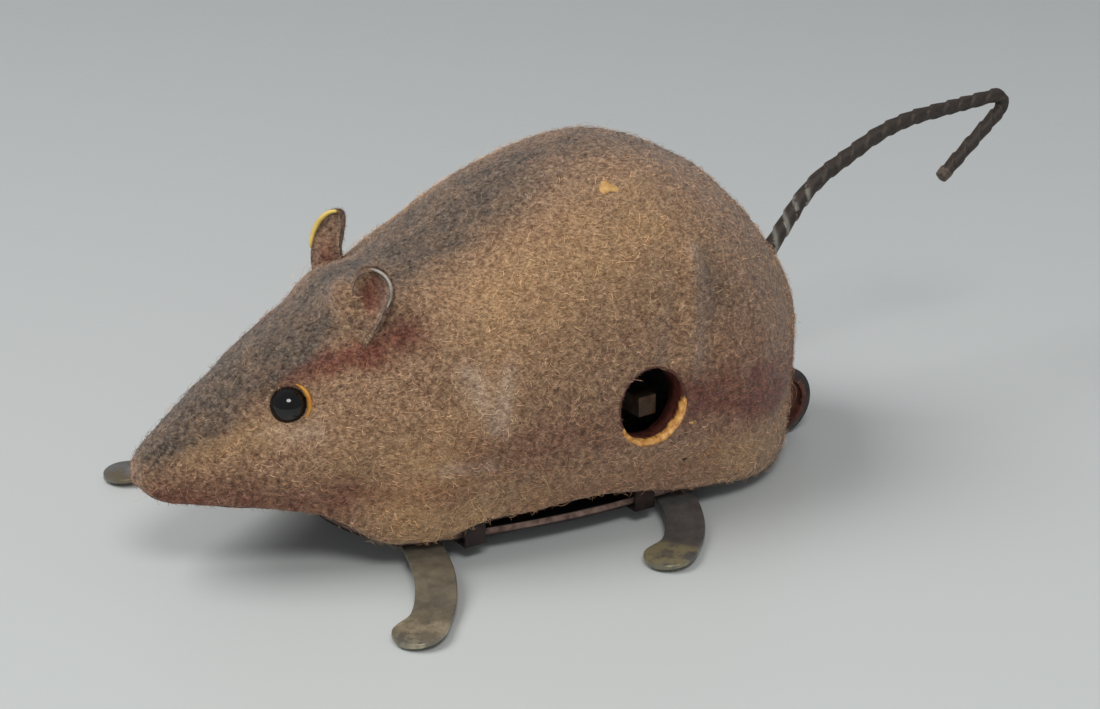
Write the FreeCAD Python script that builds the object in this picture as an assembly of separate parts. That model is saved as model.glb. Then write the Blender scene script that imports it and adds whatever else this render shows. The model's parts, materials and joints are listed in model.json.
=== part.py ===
import FreeCAD
import Part
import math
import os
from FreeCAD import Placement, Rotation, Vector

# Clockwork mouse: a flocked tin shell over a spring motor, on three wheels, with four fixed tin feet.
# Millimetres. X runs from the nose (-) to the tail (+), Y across (the mouse's left is -Y), Z up.
# The model is drawn with the floor at z = 0 and x = 0 a little ahead of the motor, then moved so that
# the origin is the middle of the bounding box on the floor.

# --- shell -------------------------------------------------------------------------------------
TIN = 0.4                 # sheet of the shell
FLOCK = 0.6               # depth of the flock on the shell
# hoops from nose to rump: x, half width, height of the lower edge, of the widest point, of the top
HOOPS = [
    (-43.2, 1.3, 10.0, 11.4, 12.4),
    (-42.2, 2.2, 9.2, 11.4, 13.5),
    (-39.5, 3.9, 8.7, 11.3, 15.3),
    (-34.0, 6.6, 7.9, 11.2, 18.9),
    (-27.0, 10.0, 6.0, 11.0, 22.9),
    (-23.0, 11.9, 3.7, 11.0, 24.7),
    (-19.0, 13.8, 3.3, 11.0, 26.6),
    (-10.0, 16.4, 4.4, 11.5, 30.6),
    (0.0, 17.9, 4.7, 12.0, 35.1),
    (10.0, 18.1, 2.9, 12.5, 36.5),
    (20.0, 17.3, 1.8, 12.5, 32.7),
    (27.0, 12.6, 1.9, 12.5, 26.6),
    (31.5, 6.9, 3.2, 12.5, 20.8),
    (33.6, 4.2, 6.0, 12.4, 17.2),
    (34.3, 2.2, 8.6, 12.2, 14.6),
]
EDGE_TUCK = 0.95          # width at the lower edge as a share of the widest point
KEYHOLE = (4.9, 13.8)     # middle of the hole in the flank, (x, z)
KEYHOLE_R = 4.0
FLANK_Y = -18.0           # the flank where the keyhole is
COLLAR_DEPTH = 2.2        # how far the keyhole's rim turns in
WHEEL_OPENING_TOP = 8.8
TAB_WIDTH = 2.4
TAB_TOP = 4.9             # the tabs leave the shell's wall here
TAB_FOLD = 3.0
TAB_X = [-15.0, 4.0, 16.0]

# --- base and feet -----------------------------------------------------------------------------
PLATE_Z = 2.0             # underside of the base plate
PLATE_T = 0.5
PLATE_RIM = 0.9           # height of the rim, from the underside
PLATE_FRONT = -20.4       # where the front edge begins to bow forward
PLATE_BOW = 3.5
PLATE_REAR = 25.6
PLATE_INSET = 1.1         # plate edge inside the shell's lower edge
PLATE_EDGE_Y = 17.2       # where the feet begin to drop
FOOT_T = 0.5
FOOT_W = 4.1
PAD_R = 2.5
PAD_Z = 0.35              # underside of a foot pad above the floor
RIVET_R = 0.9
# root, knee and pad of each foot in plan (x, y)
FEET = {
    "front_leg_left": [(-17.4, -6.5), (-20.0, -21.6), (-27.2, -25.6)],
    "front_leg_right": [(-17.4, 6.5), (-24.6, 20.2), (-34.6, 22.8)],
    "rear_leg_left": [(10.2, -10.5), (9.6, -22.4), (1.9, -25.6)],
    "rear_leg_right": [(10.2, 10.5), (9.6, 22.4), (1.9, 25.6)],
}

# --- head and tail -----------------------------------------------------------------------------
EYE = (-29.7, 6.0, 17.6)
EYE_R = 1.9
EYE_GAP = 0.25            # round the bead in its socket
EYE_WIRE_R = 0.25
EAR_ROOTS = {-1: (-20.8, 6.6, 22.4), 1: (-18.9, 6.8, 24.0)}    # the left ear sits lower
EAR_DISC_R = 2.3
EAR_HEIGHT = 5.0          # root to disc centre
EAR_T = 0.35
TAIL_WIRE_R = 0.5
TAIL_R = 0.85             # over the wrapping
# corners of the tail in the middle plane (x, z), with the bend radius at each inner corner
TAIL_PATH = [(31.4, 15.9), (39.7, 25.9), (51.5, 31.1), (70.7, 32.0), (59.4, 23.2)]
TAIL_BENDS = [14.0, 24.0, 1.15]
TAIL_ENTRY_R = 1.2

# --- motor -------------------------------------------------------------------------------------
SPRING_AXIS = (5.7, 12.9)
SECOND_ANGLE = math.radians(-5.0)    # of the line from the spring's axis to the second arbor
DRIVE_AXIS = (31.0, 4.0)
FRAME_GAP = 8.8           # between the inner faces of the frame plates
FRAME_T = 0.5
FRAME_TABS = [-3.4, 10.0, 21.0]      # where the frame's tabs start along x
FRAME_TAB_WIDTH = 2.0
# outline of a frame plate, as (x, z)
FRAME_OUTLINE = [(-5.0, 2.6), (-5.0, 20.4), (-2.8, 23.0), (15.4, 24.2),
                 (28.4, 18.2), (32.4, 8.0), (32.4, 2.6)]
PILLARS = [(-3.0, 4.6), (-2.6, 20.6), (14.6, 22.0), (26.5, 16.4)]
PILLAR_R = 0.9
PILLAR_NECK_R = 0.5
ARBOR_R = 1.5
SQUARE = 2.1              # across the flats of the winding square
SQUARE_TIP = -16.4
SQUARE_ROOT = -10.5       # where the square meets the round arbor
THIN_ARBOR_R = 0.6
AXLE_R = 0.8
RUN = 0.05                # radial running clearance
PRESSURE = math.radians(25.0)
ADDENDUM = 0.75           # in modules
DEDENDUM = 1.15           # in modules
TOOTH_SHARE = 0.44        # tooth thickness as a share of the pitch
COARSE = 0.6              # module of the first pair
FINE = 0.5                # module of the other pairs
GREAT_TEETH = 30
PINION_TEETH = 10
SECOND_TEETH = 24
THIRD_TEETH = 20
# where each gear lies between the frame plates, as (y low, y high)
GEAR_Y = {
    "great_wheel": (0.6, 1.2),
    "second_pinion": (0.3, 1.5),
    "second_wheel": (1.8, 2.3),
    "third_pinion": (1.5, 2.6),
    "third_wheel": (3.1, 3.6),
    "drive_pinion": (2.8, 3.9),
}
RATCHET_TEETH = 12
RATCHET_R = 3.7
RATCHET_ROOT = 2.9
CLICK_Y = (-0.2, 0.4)     # the ratchet wheel and the pawl share this layer
# outline of the pawl, as (distance from the spring's axis, angle about it in degrees)
CLICK_OUTLINE = [(5.6, 58), (3.95, 20), (3.2, 3), (3.75, -1), (4.9, 20), (7.0, 44)]
CLICK_PIVOT = (6.6, 52)   # distance and angle, as above
CLICK_PIN_R = 0.5
CLICK_SPRING_R = 5.22
CLICK_SPRING_T = 0.23
CLICK_SPRING_POST = (7.7, 30)
SPRING_TURNS = 7
SPRING_T = 0.25
SPRING_OUTER_R = 8.3
SPRING_Y = -4.0           # outer face of the coil
SPRING_WIDTH = 3.4
WHEEL_R = 4.0
TYRE_T = 0.8
WHEEL_Y = 6.5             # middle of each drive wheel
WHEEL_W = 1.7
FRONT_X = -13.0
FRONT_R = 3.2
FRONT_W = 2.0
FRONT_AXLE_R = 0.5
FRONT_LUG_Y = 1.4         # inner face of the lugs that hold the front axle


def cylinder_y(x, z, radius, y_low, y_high):
    """A round bar along Y."""
    return Part.makeCylinder(radius, y_high - y_low, Vector(x, y_low, z), Vector(0, 1, 0))


def box(low, high):
    """A block between two corners."""
    size = [b - a for a, b in zip(low, high)]
    return Part.makeBox(*size, Vector(*low))


def slab_y(points, y_low, y_high):
    """A flat plate across Y with a straight-sided outline of (x, z) points."""
    corners = [Vector(x, y_low, z) for x, z in points]
    face = Part.Face(Part.makePolygon(corners + corners[:1]))
    return face.extrude(Vector(0, y_high - y_low, 0))


def mirrored(shape):
    """The same piece on the mouse's other side."""
    return shape.mirror(Vector(0, 0, 0), Vector(0, 1, 0))


# --- shell -------------------------------------------------------------------------------------
def hoop(index, grow, drop):
    """One closed section of the shell, grown outward, with its sides carried down by drop."""
    x, half, edge, wide, top = HOOPS[index]
    if index == 0:
        x -= grow
    if index == len(HOOPS) - 1:
        x += grow
    half += grow
    top += grow
    tuck = half * (1 + EDGE_TUCK) / 2
    waist = (edge + wide) / 2
    points = [Vector(x, -half * EDGE_TUCK, edge), Vector(x, -tuck, waist)]
    for step in range(9):
        angle = math.pi * step / 8
        points.append(Vector(x, -half * math.cos(angle), wide + (top - wide) * math.sin(angle)))
    points += [Vector(x, tuck, waist), Vector(x, half * EDGE_TUCK, edge)]
    arch = Part.BSplineCurve()
    arch.interpolate(points)
    corners = [points[-1], points[0]]
    if drop:
        down = Vector(0, 0, -drop)
        corners = [points[-1], points[-1] + down, points[0] + down, points[0]]
    sides = [Part.makeLine(start, end) for start, end in zip(corners, corners[1:])]
    return Part.Wire([arch.toShape()] + sides)


def body_form(grow, drop=0.0):
    """The solid form of the body, grown by a constant skin."""
    return Part.makeLoft([hoop(i, grow, drop) for i in range(len(HOOPS))], True, False)


def shell_openings():
    """Everything that is cut through both the tin and the flock."""
    keyhole = cylinder_y(*KEYHOLE, KEYHOLE_R, -30, -10)
    cuts = [keyhole]
    for side in (-1, 1):
        cuts.append(Part.makeSphere(EYE_R + EYE_GAP, Vector(EYE[0], side * EYE[1], EYE[2])))
        inner = side * (WHEEL_Y - WHEEL_W / 2 - 0.5)
        outer = side * (WHEEL_Y + WHEEL_W / 2 + 0.5)
        low_y, high_y = min(inner, outer), max(inner, outer)
        cuts.append(box((DRIVE_AXIS[0] - 5, low_y, -1), (40, high_y, WHEEL_OPENING_TOP)))
    (x0, z0), (x1, z1) = TAIL_PATH[:2]
    cuts.append(Part.makeCylinder(TAIL_ENTRY_R, 12, Vector(x0, 0, z0), Vector(x1 - x0, 0, z1 - z0)))
    return Part.makeCompound(cuts)


def collar():
    """The keyhole's rim, turned in from the sheet."""
    tube = cylinder_y(*KEYHOLE, KEYHOLE_R + TIN, FLANK_Y - 7, FLANK_Y + COLLAR_DEPTH)
    return tube.cut(cylinder_y(*KEYHOLE, KEYHOLE_R, FLANK_Y - 8, FLANK_Y + 8))


def shell_tab(x, side):
    """A tab of the shell, brought down past the plate's rim and folded under it."""
    outer = half_width(x + TAB_WIDTH / 2) - TIN / 4
    wall = box((x, outer - TIN * 0.9, PLATE_Z - 0.4), (x + TAB_WIDTH, outer, TAB_TOP))
    fold = box((x, outer - TAB_FOLD, PLATE_Z - 0.4), (x + TAB_WIDTH, outer, PLATE_Z - 0.05))
    tab = wall.fuse(fold)
    return tab if side > 0 else mirrored(tab)


def half_width(x):
    """Half the width of the shell's lower edge at x, between the hoops."""
    for (xa, wa, *_), (xb, wb, *_) in zip(HOOPS, HOOPS[1:]):
        if xa <= x <= xb:
            return EDGE_TUCK * (wa + (wb - wa) * (x - xa) / (xb - xa))
    return 0.0


def body_shell(openings):
    """The pressed tin body."""
    outer = body_form(0)
    shell = outer.cut(body_form(-TIN, 3.0))
    shell = shell.fuse(collar().common(outer))
    return shell.cut(openings).removeSplitter()


def flock_covering(openings):
    """The flock, a thin layer over the tin."""
    return body_form(FLOCK).cut(body_form(0, 3.0)).cut(openings)


# --- head --------------------------------------------------------------------------------------
def eye_bead(side):
    return Part.makeSphere(EYE_R, Vector(EYE[0], side * EYE[1], EYE[2]))


def eye_wire(beads):
    """One wire through the head, with a bead on each end."""
    wire = cylinder_y(EYE[0], EYE[2], EYE_WIRE_R, -EYE[1], EYE[1])
    for bead in beads:
        wire = wire.cut(bead)
    return wire


def ear(side, body):
    """A spoon-shaped tin flap that stands on the head and faces forward and outward."""
    stem = Part.makeBox(EAR_DISC_R * 1.6, EAR_T, EAR_HEIGHT, Vector(-EAR_DISC_R * 0.8, 0, -0.6))
    disc = Part.makeCylinder(EAR_DISC_R, EAR_T, Vector(0, 0, EAR_HEIGHT), Vector(0, 1, 0))
    flap = stem.fuse(disc).removeSplitter()
    turn = Rotation(Vector(0, 0, 1), 50).multiply(Rotation(Vector(1, 0, 0), 8))
    flap.Placement = Placement(Vector(*EAR_ROOTS[side]), turn)
    flap = flap.cut(body)
    return flap if side > 0 else mirrored(flap)


# --- tail --------------------------------------------------------------------------------------
def tail_wire_path():
    """Straight runs joined by tangent arcs, in the middle plane."""
    corners = [Vector(x, 0, z) for x, z in TAIL_PATH]
    edges = []
    start = corners[0]
    for before, corner, after, radius in zip(corners, corners[1:], corners[2:], TAIL_BENDS):
        back = (before - corner).normalize()
        ahead = (after - corner).normalize()
        half = back.getAngle(ahead) / 2
        reach = radius / math.tan(half)
        middle = corner + (back + ahead).normalize() * (radius / math.sin(half) - radius)
        arc_start = corner + back * reach
        arc_end = corner + ahead * reach
        edges.append(Part.makeLine(start, arc_start))
        edges.append(Part.Arc(arc_start, middle, arc_end).toShape())
        start = arc_end
    edges.append(Part.makeLine(start, corners[-1]))
    return Part.Wire(edges)


def swept_tail(radius):
    """A round bar along the tail's path."""
    path = tail_wire_path()
    start = Vector(TAIL_PATH[0][0], 0, TAIL_PATH[0][1])
    along = path.Edges[0].tangentAt(path.Edges[0].FirstParameter)
    circle = Part.Wire(Part.makeCircle(radius, start, along))
    return path.makePipeShell([circle], True, True)


# --- base and feet -----------------------------------------------------------------------------
def plate_outline(inset):
    """The base plate's outline in plan, following the shell's lower edge."""
    stations = [PLATE_FRONT, -16, -8, 0, 8, 16, 21, PLATE_REAR]
    left = [Vector(x, -(half_width(x) - PLATE_INSET - inset), 0) for x in stations]
    right = [Vector(p.x, -p.y, 0) for p in reversed(left)]
    near = Part.BSplineCurve()
    near.interpolate(left)
    far = Part.BSplineCurve()
    far.interpolate(right)
    rear = Part.makeLine(left[-1], right[0])
    bow = Vector(PLATE_FRONT - PLATE_BOW, 0, 0)
    front = Part.Arc(right[-1], bow, left[0]).toShape()
    return Part.Face(Part.Wire([near.toShape(), rear, far.toShape(), front]))


def front_wheel_lug(side):
    """An ear of the base plate, bent up beside the front wheel to hold its axle."""
    inner = FRONT_LUG_Y
    outer = FRONT_LUG_Y + PLATE_T
    near, far = FRONT_X - 1.6, FRONT_X + 1.6
    upright = box((near, inner, PLATE_Z), (far, outer, FRONT_R + 1.7))
    root = box((near, inner, PLATE_Z), (far, outer + 1.3, PLATE_Z + PLATE_T))
    lug = upright.fuse(root).cut(cylinder_y(FRONT_X, FRONT_R, FRONT_AXLE_R, 0, 3))
    return lug if side > 0 else mirrored(lug)


def base_plate(tab_places):
    """The tin plate that closes the underside, with a raised rim and its windows."""
    floor = plate_outline(0).extrude(Vector(0, 0, PLATE_T))
    rim = plate_outline(0).extrude(Vector(0, 0, PLATE_RIM))
    rim = rim.cut(plate_outline(PLATE_T).extrude(Vector(0, 0, PLATE_RIM + 1)))
    plate = floor.fuse(rim)
    plate.translate(Vector(0, 0, PLATE_Z))
    window = FRONT_R + 1.4
    plate = plate.cut(box((FRONT_X - window, -2.6, 0), (FRONT_X + window, 2.6, 6)))
    for side in (-1, 1):
        plate = plate.fuse(front_wheel_lug(side))
        middle = side * (FRAME_GAP + FRAME_T) / 2
        for x in FRAME_TABS:
            slot_low = (x - 0.05, middle - 0.35, 0)
            slot_high = (x + FRAME_TAB_WIDTH + 0.05, middle + 0.35, 6)
            plate = plate.cut(box(slot_low, slot_high))
    for x, side in tab_places:
        plate = plate.cut(shell_tab(x, side))
    for hole in rivet_holes():
        plate = plate.cut(hole)
    return plate.removeSplitter()


def foot_plan(points):
    """A foot in plan: a strip curved through its knee with a round pad, as one upright prism."""
    root, knee, pad = [Vector(x, y, -4) for x, y in points]
    sides = {-1: [], 1: []}
    for step in range(9):
        share = step / 8
        place = root * (1 - share) ** 2 + knee * 2 * share * (1 - share) + pad * share ** 2
        along = ((knee - root) * (1 - share) + (pad - knee) * share).normalize()
        across = Vector(-along.y, along.x, 0) * (FOOT_W / 2)
        for side, line in sides.items():
            line.append(place + across * side)
    edges = []
    for line in sides.values():
        curve = Part.BSplineCurve()
        curve.interpolate(line)
        edges.append(curve.toShape())
    edges += [Part.makeLine(sides[-1][end], sides[1][end]) for end in (0, -1)]
    strip = Part.Face(Part.Wire(Part.__sortEdges__(edges))).extrude(Vector(0, 0, 12))
    return strip.fuse(Part.makeCylinder(PAD_R, 12, pad))


def foot(points):
    """A foot: flat under the plate, dropped outside it, and level again at the pad."""
    side = 1 if points[0][1] > 0 else -1
    top = PLATE_Z
    pad_top = PAD_Z + FOOT_T
    knee = PLATE_EDGE_Y
    toe = abs(points[2][1]) - PAD_R + 0.4
    far = abs(points[2][1]) + 6
    profile = [(5, top), (knee, top), (toe, pad_top), (far, pad_top),
               (far, PAD_Z), (toe - 0.15, PAD_Z), (knee - 0.15, top - FOOT_T), (5, top - FOOT_T)]
    corners = [Vector(-60, side * y, z) for y, z in profile]
    sheet = Part.Face(Part.makePolygon(corners + corners[:1])).extrude(Vector(120, 0, 0))
    bent = sheet.common(foot_plan(points))
    for hole in rivet_holes():
        bent = bent.cut(hole)
    return bent.removeSplitter()


def rivet_places():
    """Two rivets through each foot's root."""
    places = []
    for (x0, y0), (x1, y1), _ in FEET.values():
        for share in (0.08, 0.25):
            places.append((x0 + (x1 - x0) * share, y0 + (y1 - y0) * share))
    return places


def rivet_holes():
    return [Part.makeCylinder(RIVET_R * 0.6, 6, Vector(x, y, -1)) for x, y in rivet_places()]


def leg_rivets():
    """Shank with a low head under the foot and a flat head over the plate."""
    rivets = []
    for x, y in rivet_places():
        low = PLATE_Z - FOOT_T
        shank = Part.makeCylinder(RIVET_R * 0.6, PLATE_T + FOOT_T, Vector(x, y, low))
        under = Part.makeCylinder(RIVET_R, 0.35, Vector(x, y, low - 0.35))
        over = Part.makeCylinder(RIVET_R, 0.4, Vector(x, y, PLATE_Z + PLATE_T))
        rivets.append(shank.fuse([under, over]).removeSplitter())
    return Part.makeCompound(rivets)


# --- gears -------------------------------------------------------------------------------------
def involute_angle(radius, base):
    """How far the involute from the base circle has turned at a radius."""
    ratio = base / max(radius, base)
    pressure = math.acos(ratio)
    return math.tan(pressure) - pressure


def gear(axis, teeth, module, phase, bore, y_low, y_high):
    """A spur gear across Y with involute teeth; phase is the angle of one tooth's middle."""
    pitch_r = teeth * module / 2
    base = pitch_r * math.cos(PRESSURE)
    root = pitch_r - DEDENDUM * module
    tip = pitch_r + ADDENDUM * module
    pitch = 2 * math.pi / teeth
    half = pitch * TOOTH_SHARE / 2
    at_pitch = involute_angle(pitch_r, base)
    radii = [max(base, root) + (tip - max(base, root)) * i / 4 for i in range(5)]
    flank = [(r, half + at_pitch - involute_angle(r, base)) for r in radii]
    points = []
    for tooth in range(teeth):
        middle = phase + tooth * pitch
        side = [(root, flank[0][1])] if root < base else []
        side += flank
        points += [(r, middle - a) for r, a in side]
        points += [(r, middle + a) for r, a in reversed(side)]
    outline = [(axis[0] + r * math.cos(a), axis[1] + r * math.sin(a)) for r, a in points]
    blank = slab_y(outline, y_low, y_high)
    return blank.cut(cylinder_y(*axis, bore, y_low - 1, y_high + 1))


def mesh_phase(axis_a, teeth_a, phase_a, axis_b, teeth_b):
    """The phase that puts gear b in mesh with gear a."""
    toward = math.atan2(axis_b[1] - axis_a[1], axis_b[0] - axis_a[0])
    share = (toward - phase_a) / (2 * math.pi / teeth_a)
    return toward + math.pi - (0.5 - share) * 2 * math.pi / teeth_b


def circle_meet(centre_a, radius_a, centre_b, radius_b):
    """The upper of the two points at given distances from two centres."""
    dx = centre_b[0] - centre_a[0]
    dz = centre_b[1] - centre_a[1]
    gap = math.hypot(dx, dz)
    along = (radius_a ** 2 - radius_b ** 2 + gap ** 2) / (2 * gap)
    aside = math.sqrt(radius_a ** 2 - along ** 2)
    x = centre_a[0] + (along * dx - aside * dz) / gap
    z = centre_a[1] + (along * dz + aside * dx) / gap
    return (x, z)


def centre_distance(wheel_teeth, module):
    return (wheel_teeth + PINION_TEETH) * module / 2


SECOND_REACH = centre_distance(GREAT_TEETH, COARSE)
SECOND_AXIS = (SPRING_AXIS[0] + SECOND_REACH * math.cos(SECOND_ANGLE),
               SPRING_AXIS[1] + SECOND_REACH * math.sin(SECOND_ANGLE))
THIRD_AXIS = circle_meet(SECOND_AXIS, centre_distance(SECOND_TEETH, FINE),
                         DRIVE_AXIS, centre_distance(THIRD_TEETH, FINE))


def gear_train():
    """Three wheel and pinion pairs from the mainspring to the drive axle."""
    second_phase = mesh_phase(SPRING_AXIS, GREAT_TEETH, 0.0, SECOND_AXIS, PINION_TEETH)
    third_phase = mesh_phase(SECOND_AXIS, SECOND_TEETH, second_phase, THIRD_AXIS, PINION_TEETH)
    drive_phase = mesh_phase(THIRD_AXIS, THIRD_TEETH, third_phase, DRIVE_AXIS, PINION_TEETH)
    gears = {
        "great_wheel": (SPRING_AXIS, GREAT_TEETH, COARSE, 0.0, ARBOR_R + RUN),
        "second_pinion": (SECOND_AXIS, PINION_TEETH, COARSE, second_phase, THIN_ARBOR_R),
        "second_wheel": (SECOND_AXIS, SECOND_TEETH, FINE, second_phase, THIN_ARBOR_R),
        "third_pinion": (THIRD_AXIS, PINION_TEETH, FINE, third_phase, THIN_ARBOR_R),
        "third_wheel": (THIRD_AXIS, THIRD_TEETH, FINE, third_phase, THIN_ARBOR_R),
        "drive_pinion": (DRIVE_AXIS, PINION_TEETH, FINE, drive_phase, AXLE_R),
    }
    return {name: gear(*facts, *GEAR_Y[name]) for name, facts in gears.items()}


# --- motor -------------------------------------------------------------------------------------
def frame_plate(side):
    """One side of the motor's frame, with its bearings and the tabs that go through the base."""
    low = FRAME_GAP / 2
    plate = slab_y(FRAME_OUTLINE, low, low + FRAME_T)
    for x in FRAME_TABS:
        plate = plate.fuse(box((x, low, PLATE_Z - 0.4), (x + FRAME_TAB_WIDTH, low + FRAME_T, 3.0)))
    bearings = [(SPRING_AXIS, ARBOR_R + RUN), (SECOND_AXIS, THIN_ARBOR_R + RUN),
                (THIRD_AXIS, THIN_ARBOR_R + RUN), (DRIVE_AXIS, AXLE_R + RUN)]
    bearings += [(place, PILLAR_NECK_R) for place in PILLARS]
    for axis, radius in bearings:
        plate = plate.cut(cylinder_y(*axis, radius, 0, 9))
    plate = plate.removeSplitter()
    return plate if side > 0 else mirrored(plate)


def frame_pillars():
    """Turned posts that hold the frame plates apart."""
    half = FRAME_GAP / 2
    return Part.makeCompound([cylinder_y(x, z, PILLAR_R, -half, half) for x, z in PILLARS])


def pillar_rivets():
    """The riveted ends of the posts, outside the plates."""
    start = FRAME_GAP / 2
    rivets = []
    for x, z in PILLARS:
        neck = cylinder_y(x, z, PILLAR_NECK_R, start, start + FRAME_T)
        head = cylinder_y(x, z, 1.2, start + FRAME_T, start + FRAME_T + 0.35)
        rivet = neck.fuse(head).removeSplitter()
        rivets += [rivet, mirrored(rivet)]
    return Part.makeCompound(rivets)


def winding_arbor():
    """The spring's arbor, squared at its outer end for the key."""
    x, z = SPRING_AXIS
    bar = cylinder_y(x, z, ARBOR_R, SQUARE_ROOT, FRAME_GAP / 2 + FRAME_T + 0.6)
    half = SQUARE / 2
    square = box((x - half, SQUARE_TIP, z - half), (x + half, SQUARE_ROOT, z + half))
    return bar.fuse(square).removeSplitter()


def thin_arbor(axis):
    reach = FRAME_GAP / 2 + FRAME_T + 0.4
    return cylinder_y(*axis, THIN_ARBOR_R, -reach, reach)


def around(radius, degrees):
    """A point at a distance and angle from the spring's axis, as (x, z)."""
    angle = math.radians(degrees)
    return (SPRING_AXIS[0] + radius * math.cos(angle), SPRING_AXIS[1] + radius * math.sin(angle))


def ratchet_wheel():
    """Saw teeth: a slow rise to the tip, then a steep drop."""
    pitch = 360 / RATCHET_TEETH
    outline = []
    for tooth in range(RATCHET_TEETH):
        outline.append(around(RATCHET_ROOT, tooth * pitch))
        outline.append(around(RATCHET_R, (tooth + 0.8) * pitch))
    return slab_y(outline, *CLICK_Y).cut(cylinder_y(*SPRING_AXIS, ARBOR_R, -2, 2))


def click():
    """The pawl, pivoted on the great wheel, with its nose in a ratchet tooth."""
    lever = slab_y([around(*place) for place in CLICK_OUTLINE], *CLICK_Y)
    pivot = around(*CLICK_PIVOT)
    lever = lever.fuse(cylinder_y(*pivot, 1.1, *CLICK_Y)).removeSplitter()
    return lever.cut(cylinder_y(*pivot, CLICK_PIN_R + RUN, -1, 1))


def click_rivet():
    """The pawl's pivot, riveted into the great wheel."""
    pivot = around(*CLICK_PIVOT)
    shank = cylinder_y(*pivot, CLICK_PIN_R, -0.3, GEAR_Y["great_wheel"][0])
    head = cylinder_y(*pivot, CLICK_PIN_R + 0.4, -0.55, -0.27)
    return shank.fuse(head).removeSplitter()


def click_spring():
    """A curved leaf on the great wheel that presses the pawl inward."""
    inner = [around(CLICK_SPRING_R, a) for a in range(14, 27, 3)]
    outer = [around(CLICK_SPRING_R + CLICK_SPRING_T, a) for a in range(26, 13, -3)]
    leaf = slab_y(inner + [around(7.6, 30), around(7.85, 29)] + outer, -0.1, 0.35)
    post = cylinder_y(*around(*CLICK_SPRING_POST), 0.45, CLICK_Y[0], GEAR_Y["great_wheel"][0])
    return leaf.fuse(post).removeSplitter()


def mainspring():
    """A flat coil spring between the arbor and a post of the frame."""
    inner_r = ARBOR_R + 0.12
    steps = SPRING_TURNS * 16
    hook = PILLARS[0]
    finish = math.atan2(hook[1] - SPRING_AXIS[1], hook[0] - SPRING_AXIS[0]) + 0.55
    sides = []
    for offset in (0.0, SPRING_T):
        points = []
        for step in range(steps + 1):
            share = step / steps
            radius = inner_r + (SPRING_OUTER_R - inner_r) * share + offset
            x, z = around(radius, math.degrees(finish) - (1 - share) * SPRING_TURNS * 360)
            points.append(Vector(x, SPRING_Y, z))
        curve = Part.BSplineCurve()
        curve.interpolate(points)
        sides.append((curve.toShape(), points))
    (inside, a), (outside, b) = sides
    ends = [Part.makeLine(a[0], b[0]), Part.makeLine(a[-1], b[-1])]
    band = Part.Face(Part.Wire(Part.__sortEdges__([inside, outside] + ends)))
    return band.extrude(Vector(0, SPRING_WIDTH, 0))


def drive_axle():
    reach = WHEEL_Y + WHEEL_W / 2 + 0.4
    return cylinder_y(*DRIVE_AXIS, AXLE_R, -reach, reach)


def drive_wheel(side):
    """A turned disc with a hub on its inner face."""
    low = WHEEL_Y - WHEEL_W / 2
    disc = cylinder_y(*DRIVE_AXIS, WHEEL_R - TYRE_T, low, low + WHEEL_W)
    dish = cylinder_y(*DRIVE_AXIS, WHEEL_R - TYRE_T - 0.5, low + WHEEL_W - 0.5, low + WHEEL_W + 1)
    boss = cylinder_y(*DRIVE_AXIS, AXLE_R + 0.6, low + 0.2, low + WHEEL_W)
    wheel = disc.cut(dish).fuse(boss).cut(cylinder_y(*DRIVE_AXIS, AXLE_R, 0, 12)).removeSplitter()
    return wheel if side > 0 else mirrored(wheel)


def tyre(side):
    """A band of rubber with rounded shoulders round the drive wheel."""
    low = WHEEL_Y - WHEEL_W / 2
    band = cylinder_y(*DRIVE_AXIS, WHEEL_R, low, low + WHEEL_W)
    rims = [e for e in band.Edges if isinstance(e.Curve, Part.Circle)]
    band = band.makeFillet(0.35, rims)
    band = band.cut(cylinder_y(*DRIVE_AXIS, WHEEL_R - TYRE_T, 0, 12))
    return band if side > 0 else mirrored(band)


def front_wheel():
    """The small steadying wheel under the chest."""
    wheel = cylinder_y(FRONT_X, FRONT_R, FRONT_R, -FRONT_W / 2, FRONT_W / 2)
    rims = [e for e in wheel.Edges if isinstance(e.Curve, Part.Circle)]
    wheel = wheel.makeFillet(0.3, rims)
    return wheel.cut(cylinder_y(FRONT_X, FRONT_R, FRONT_AXLE_R + RUN, -5, 5))


def front_axle():
    """The front wheel's pin, headed outside its lugs."""
    lug = FRONT_LUG_Y + PLATE_T + 0.05
    reach = lug + 0.35
    bar = cylinder_y(FRONT_X, FRONT_R, FRONT_AXLE_R, -reach, reach)
    heads = [cylinder_y(FRONT_X, FRONT_R, 0.65, *ends) for ends in ((-reach, -lug), (lug, reach))]
    return bar.fuse(heads).removeSplitter()


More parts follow.
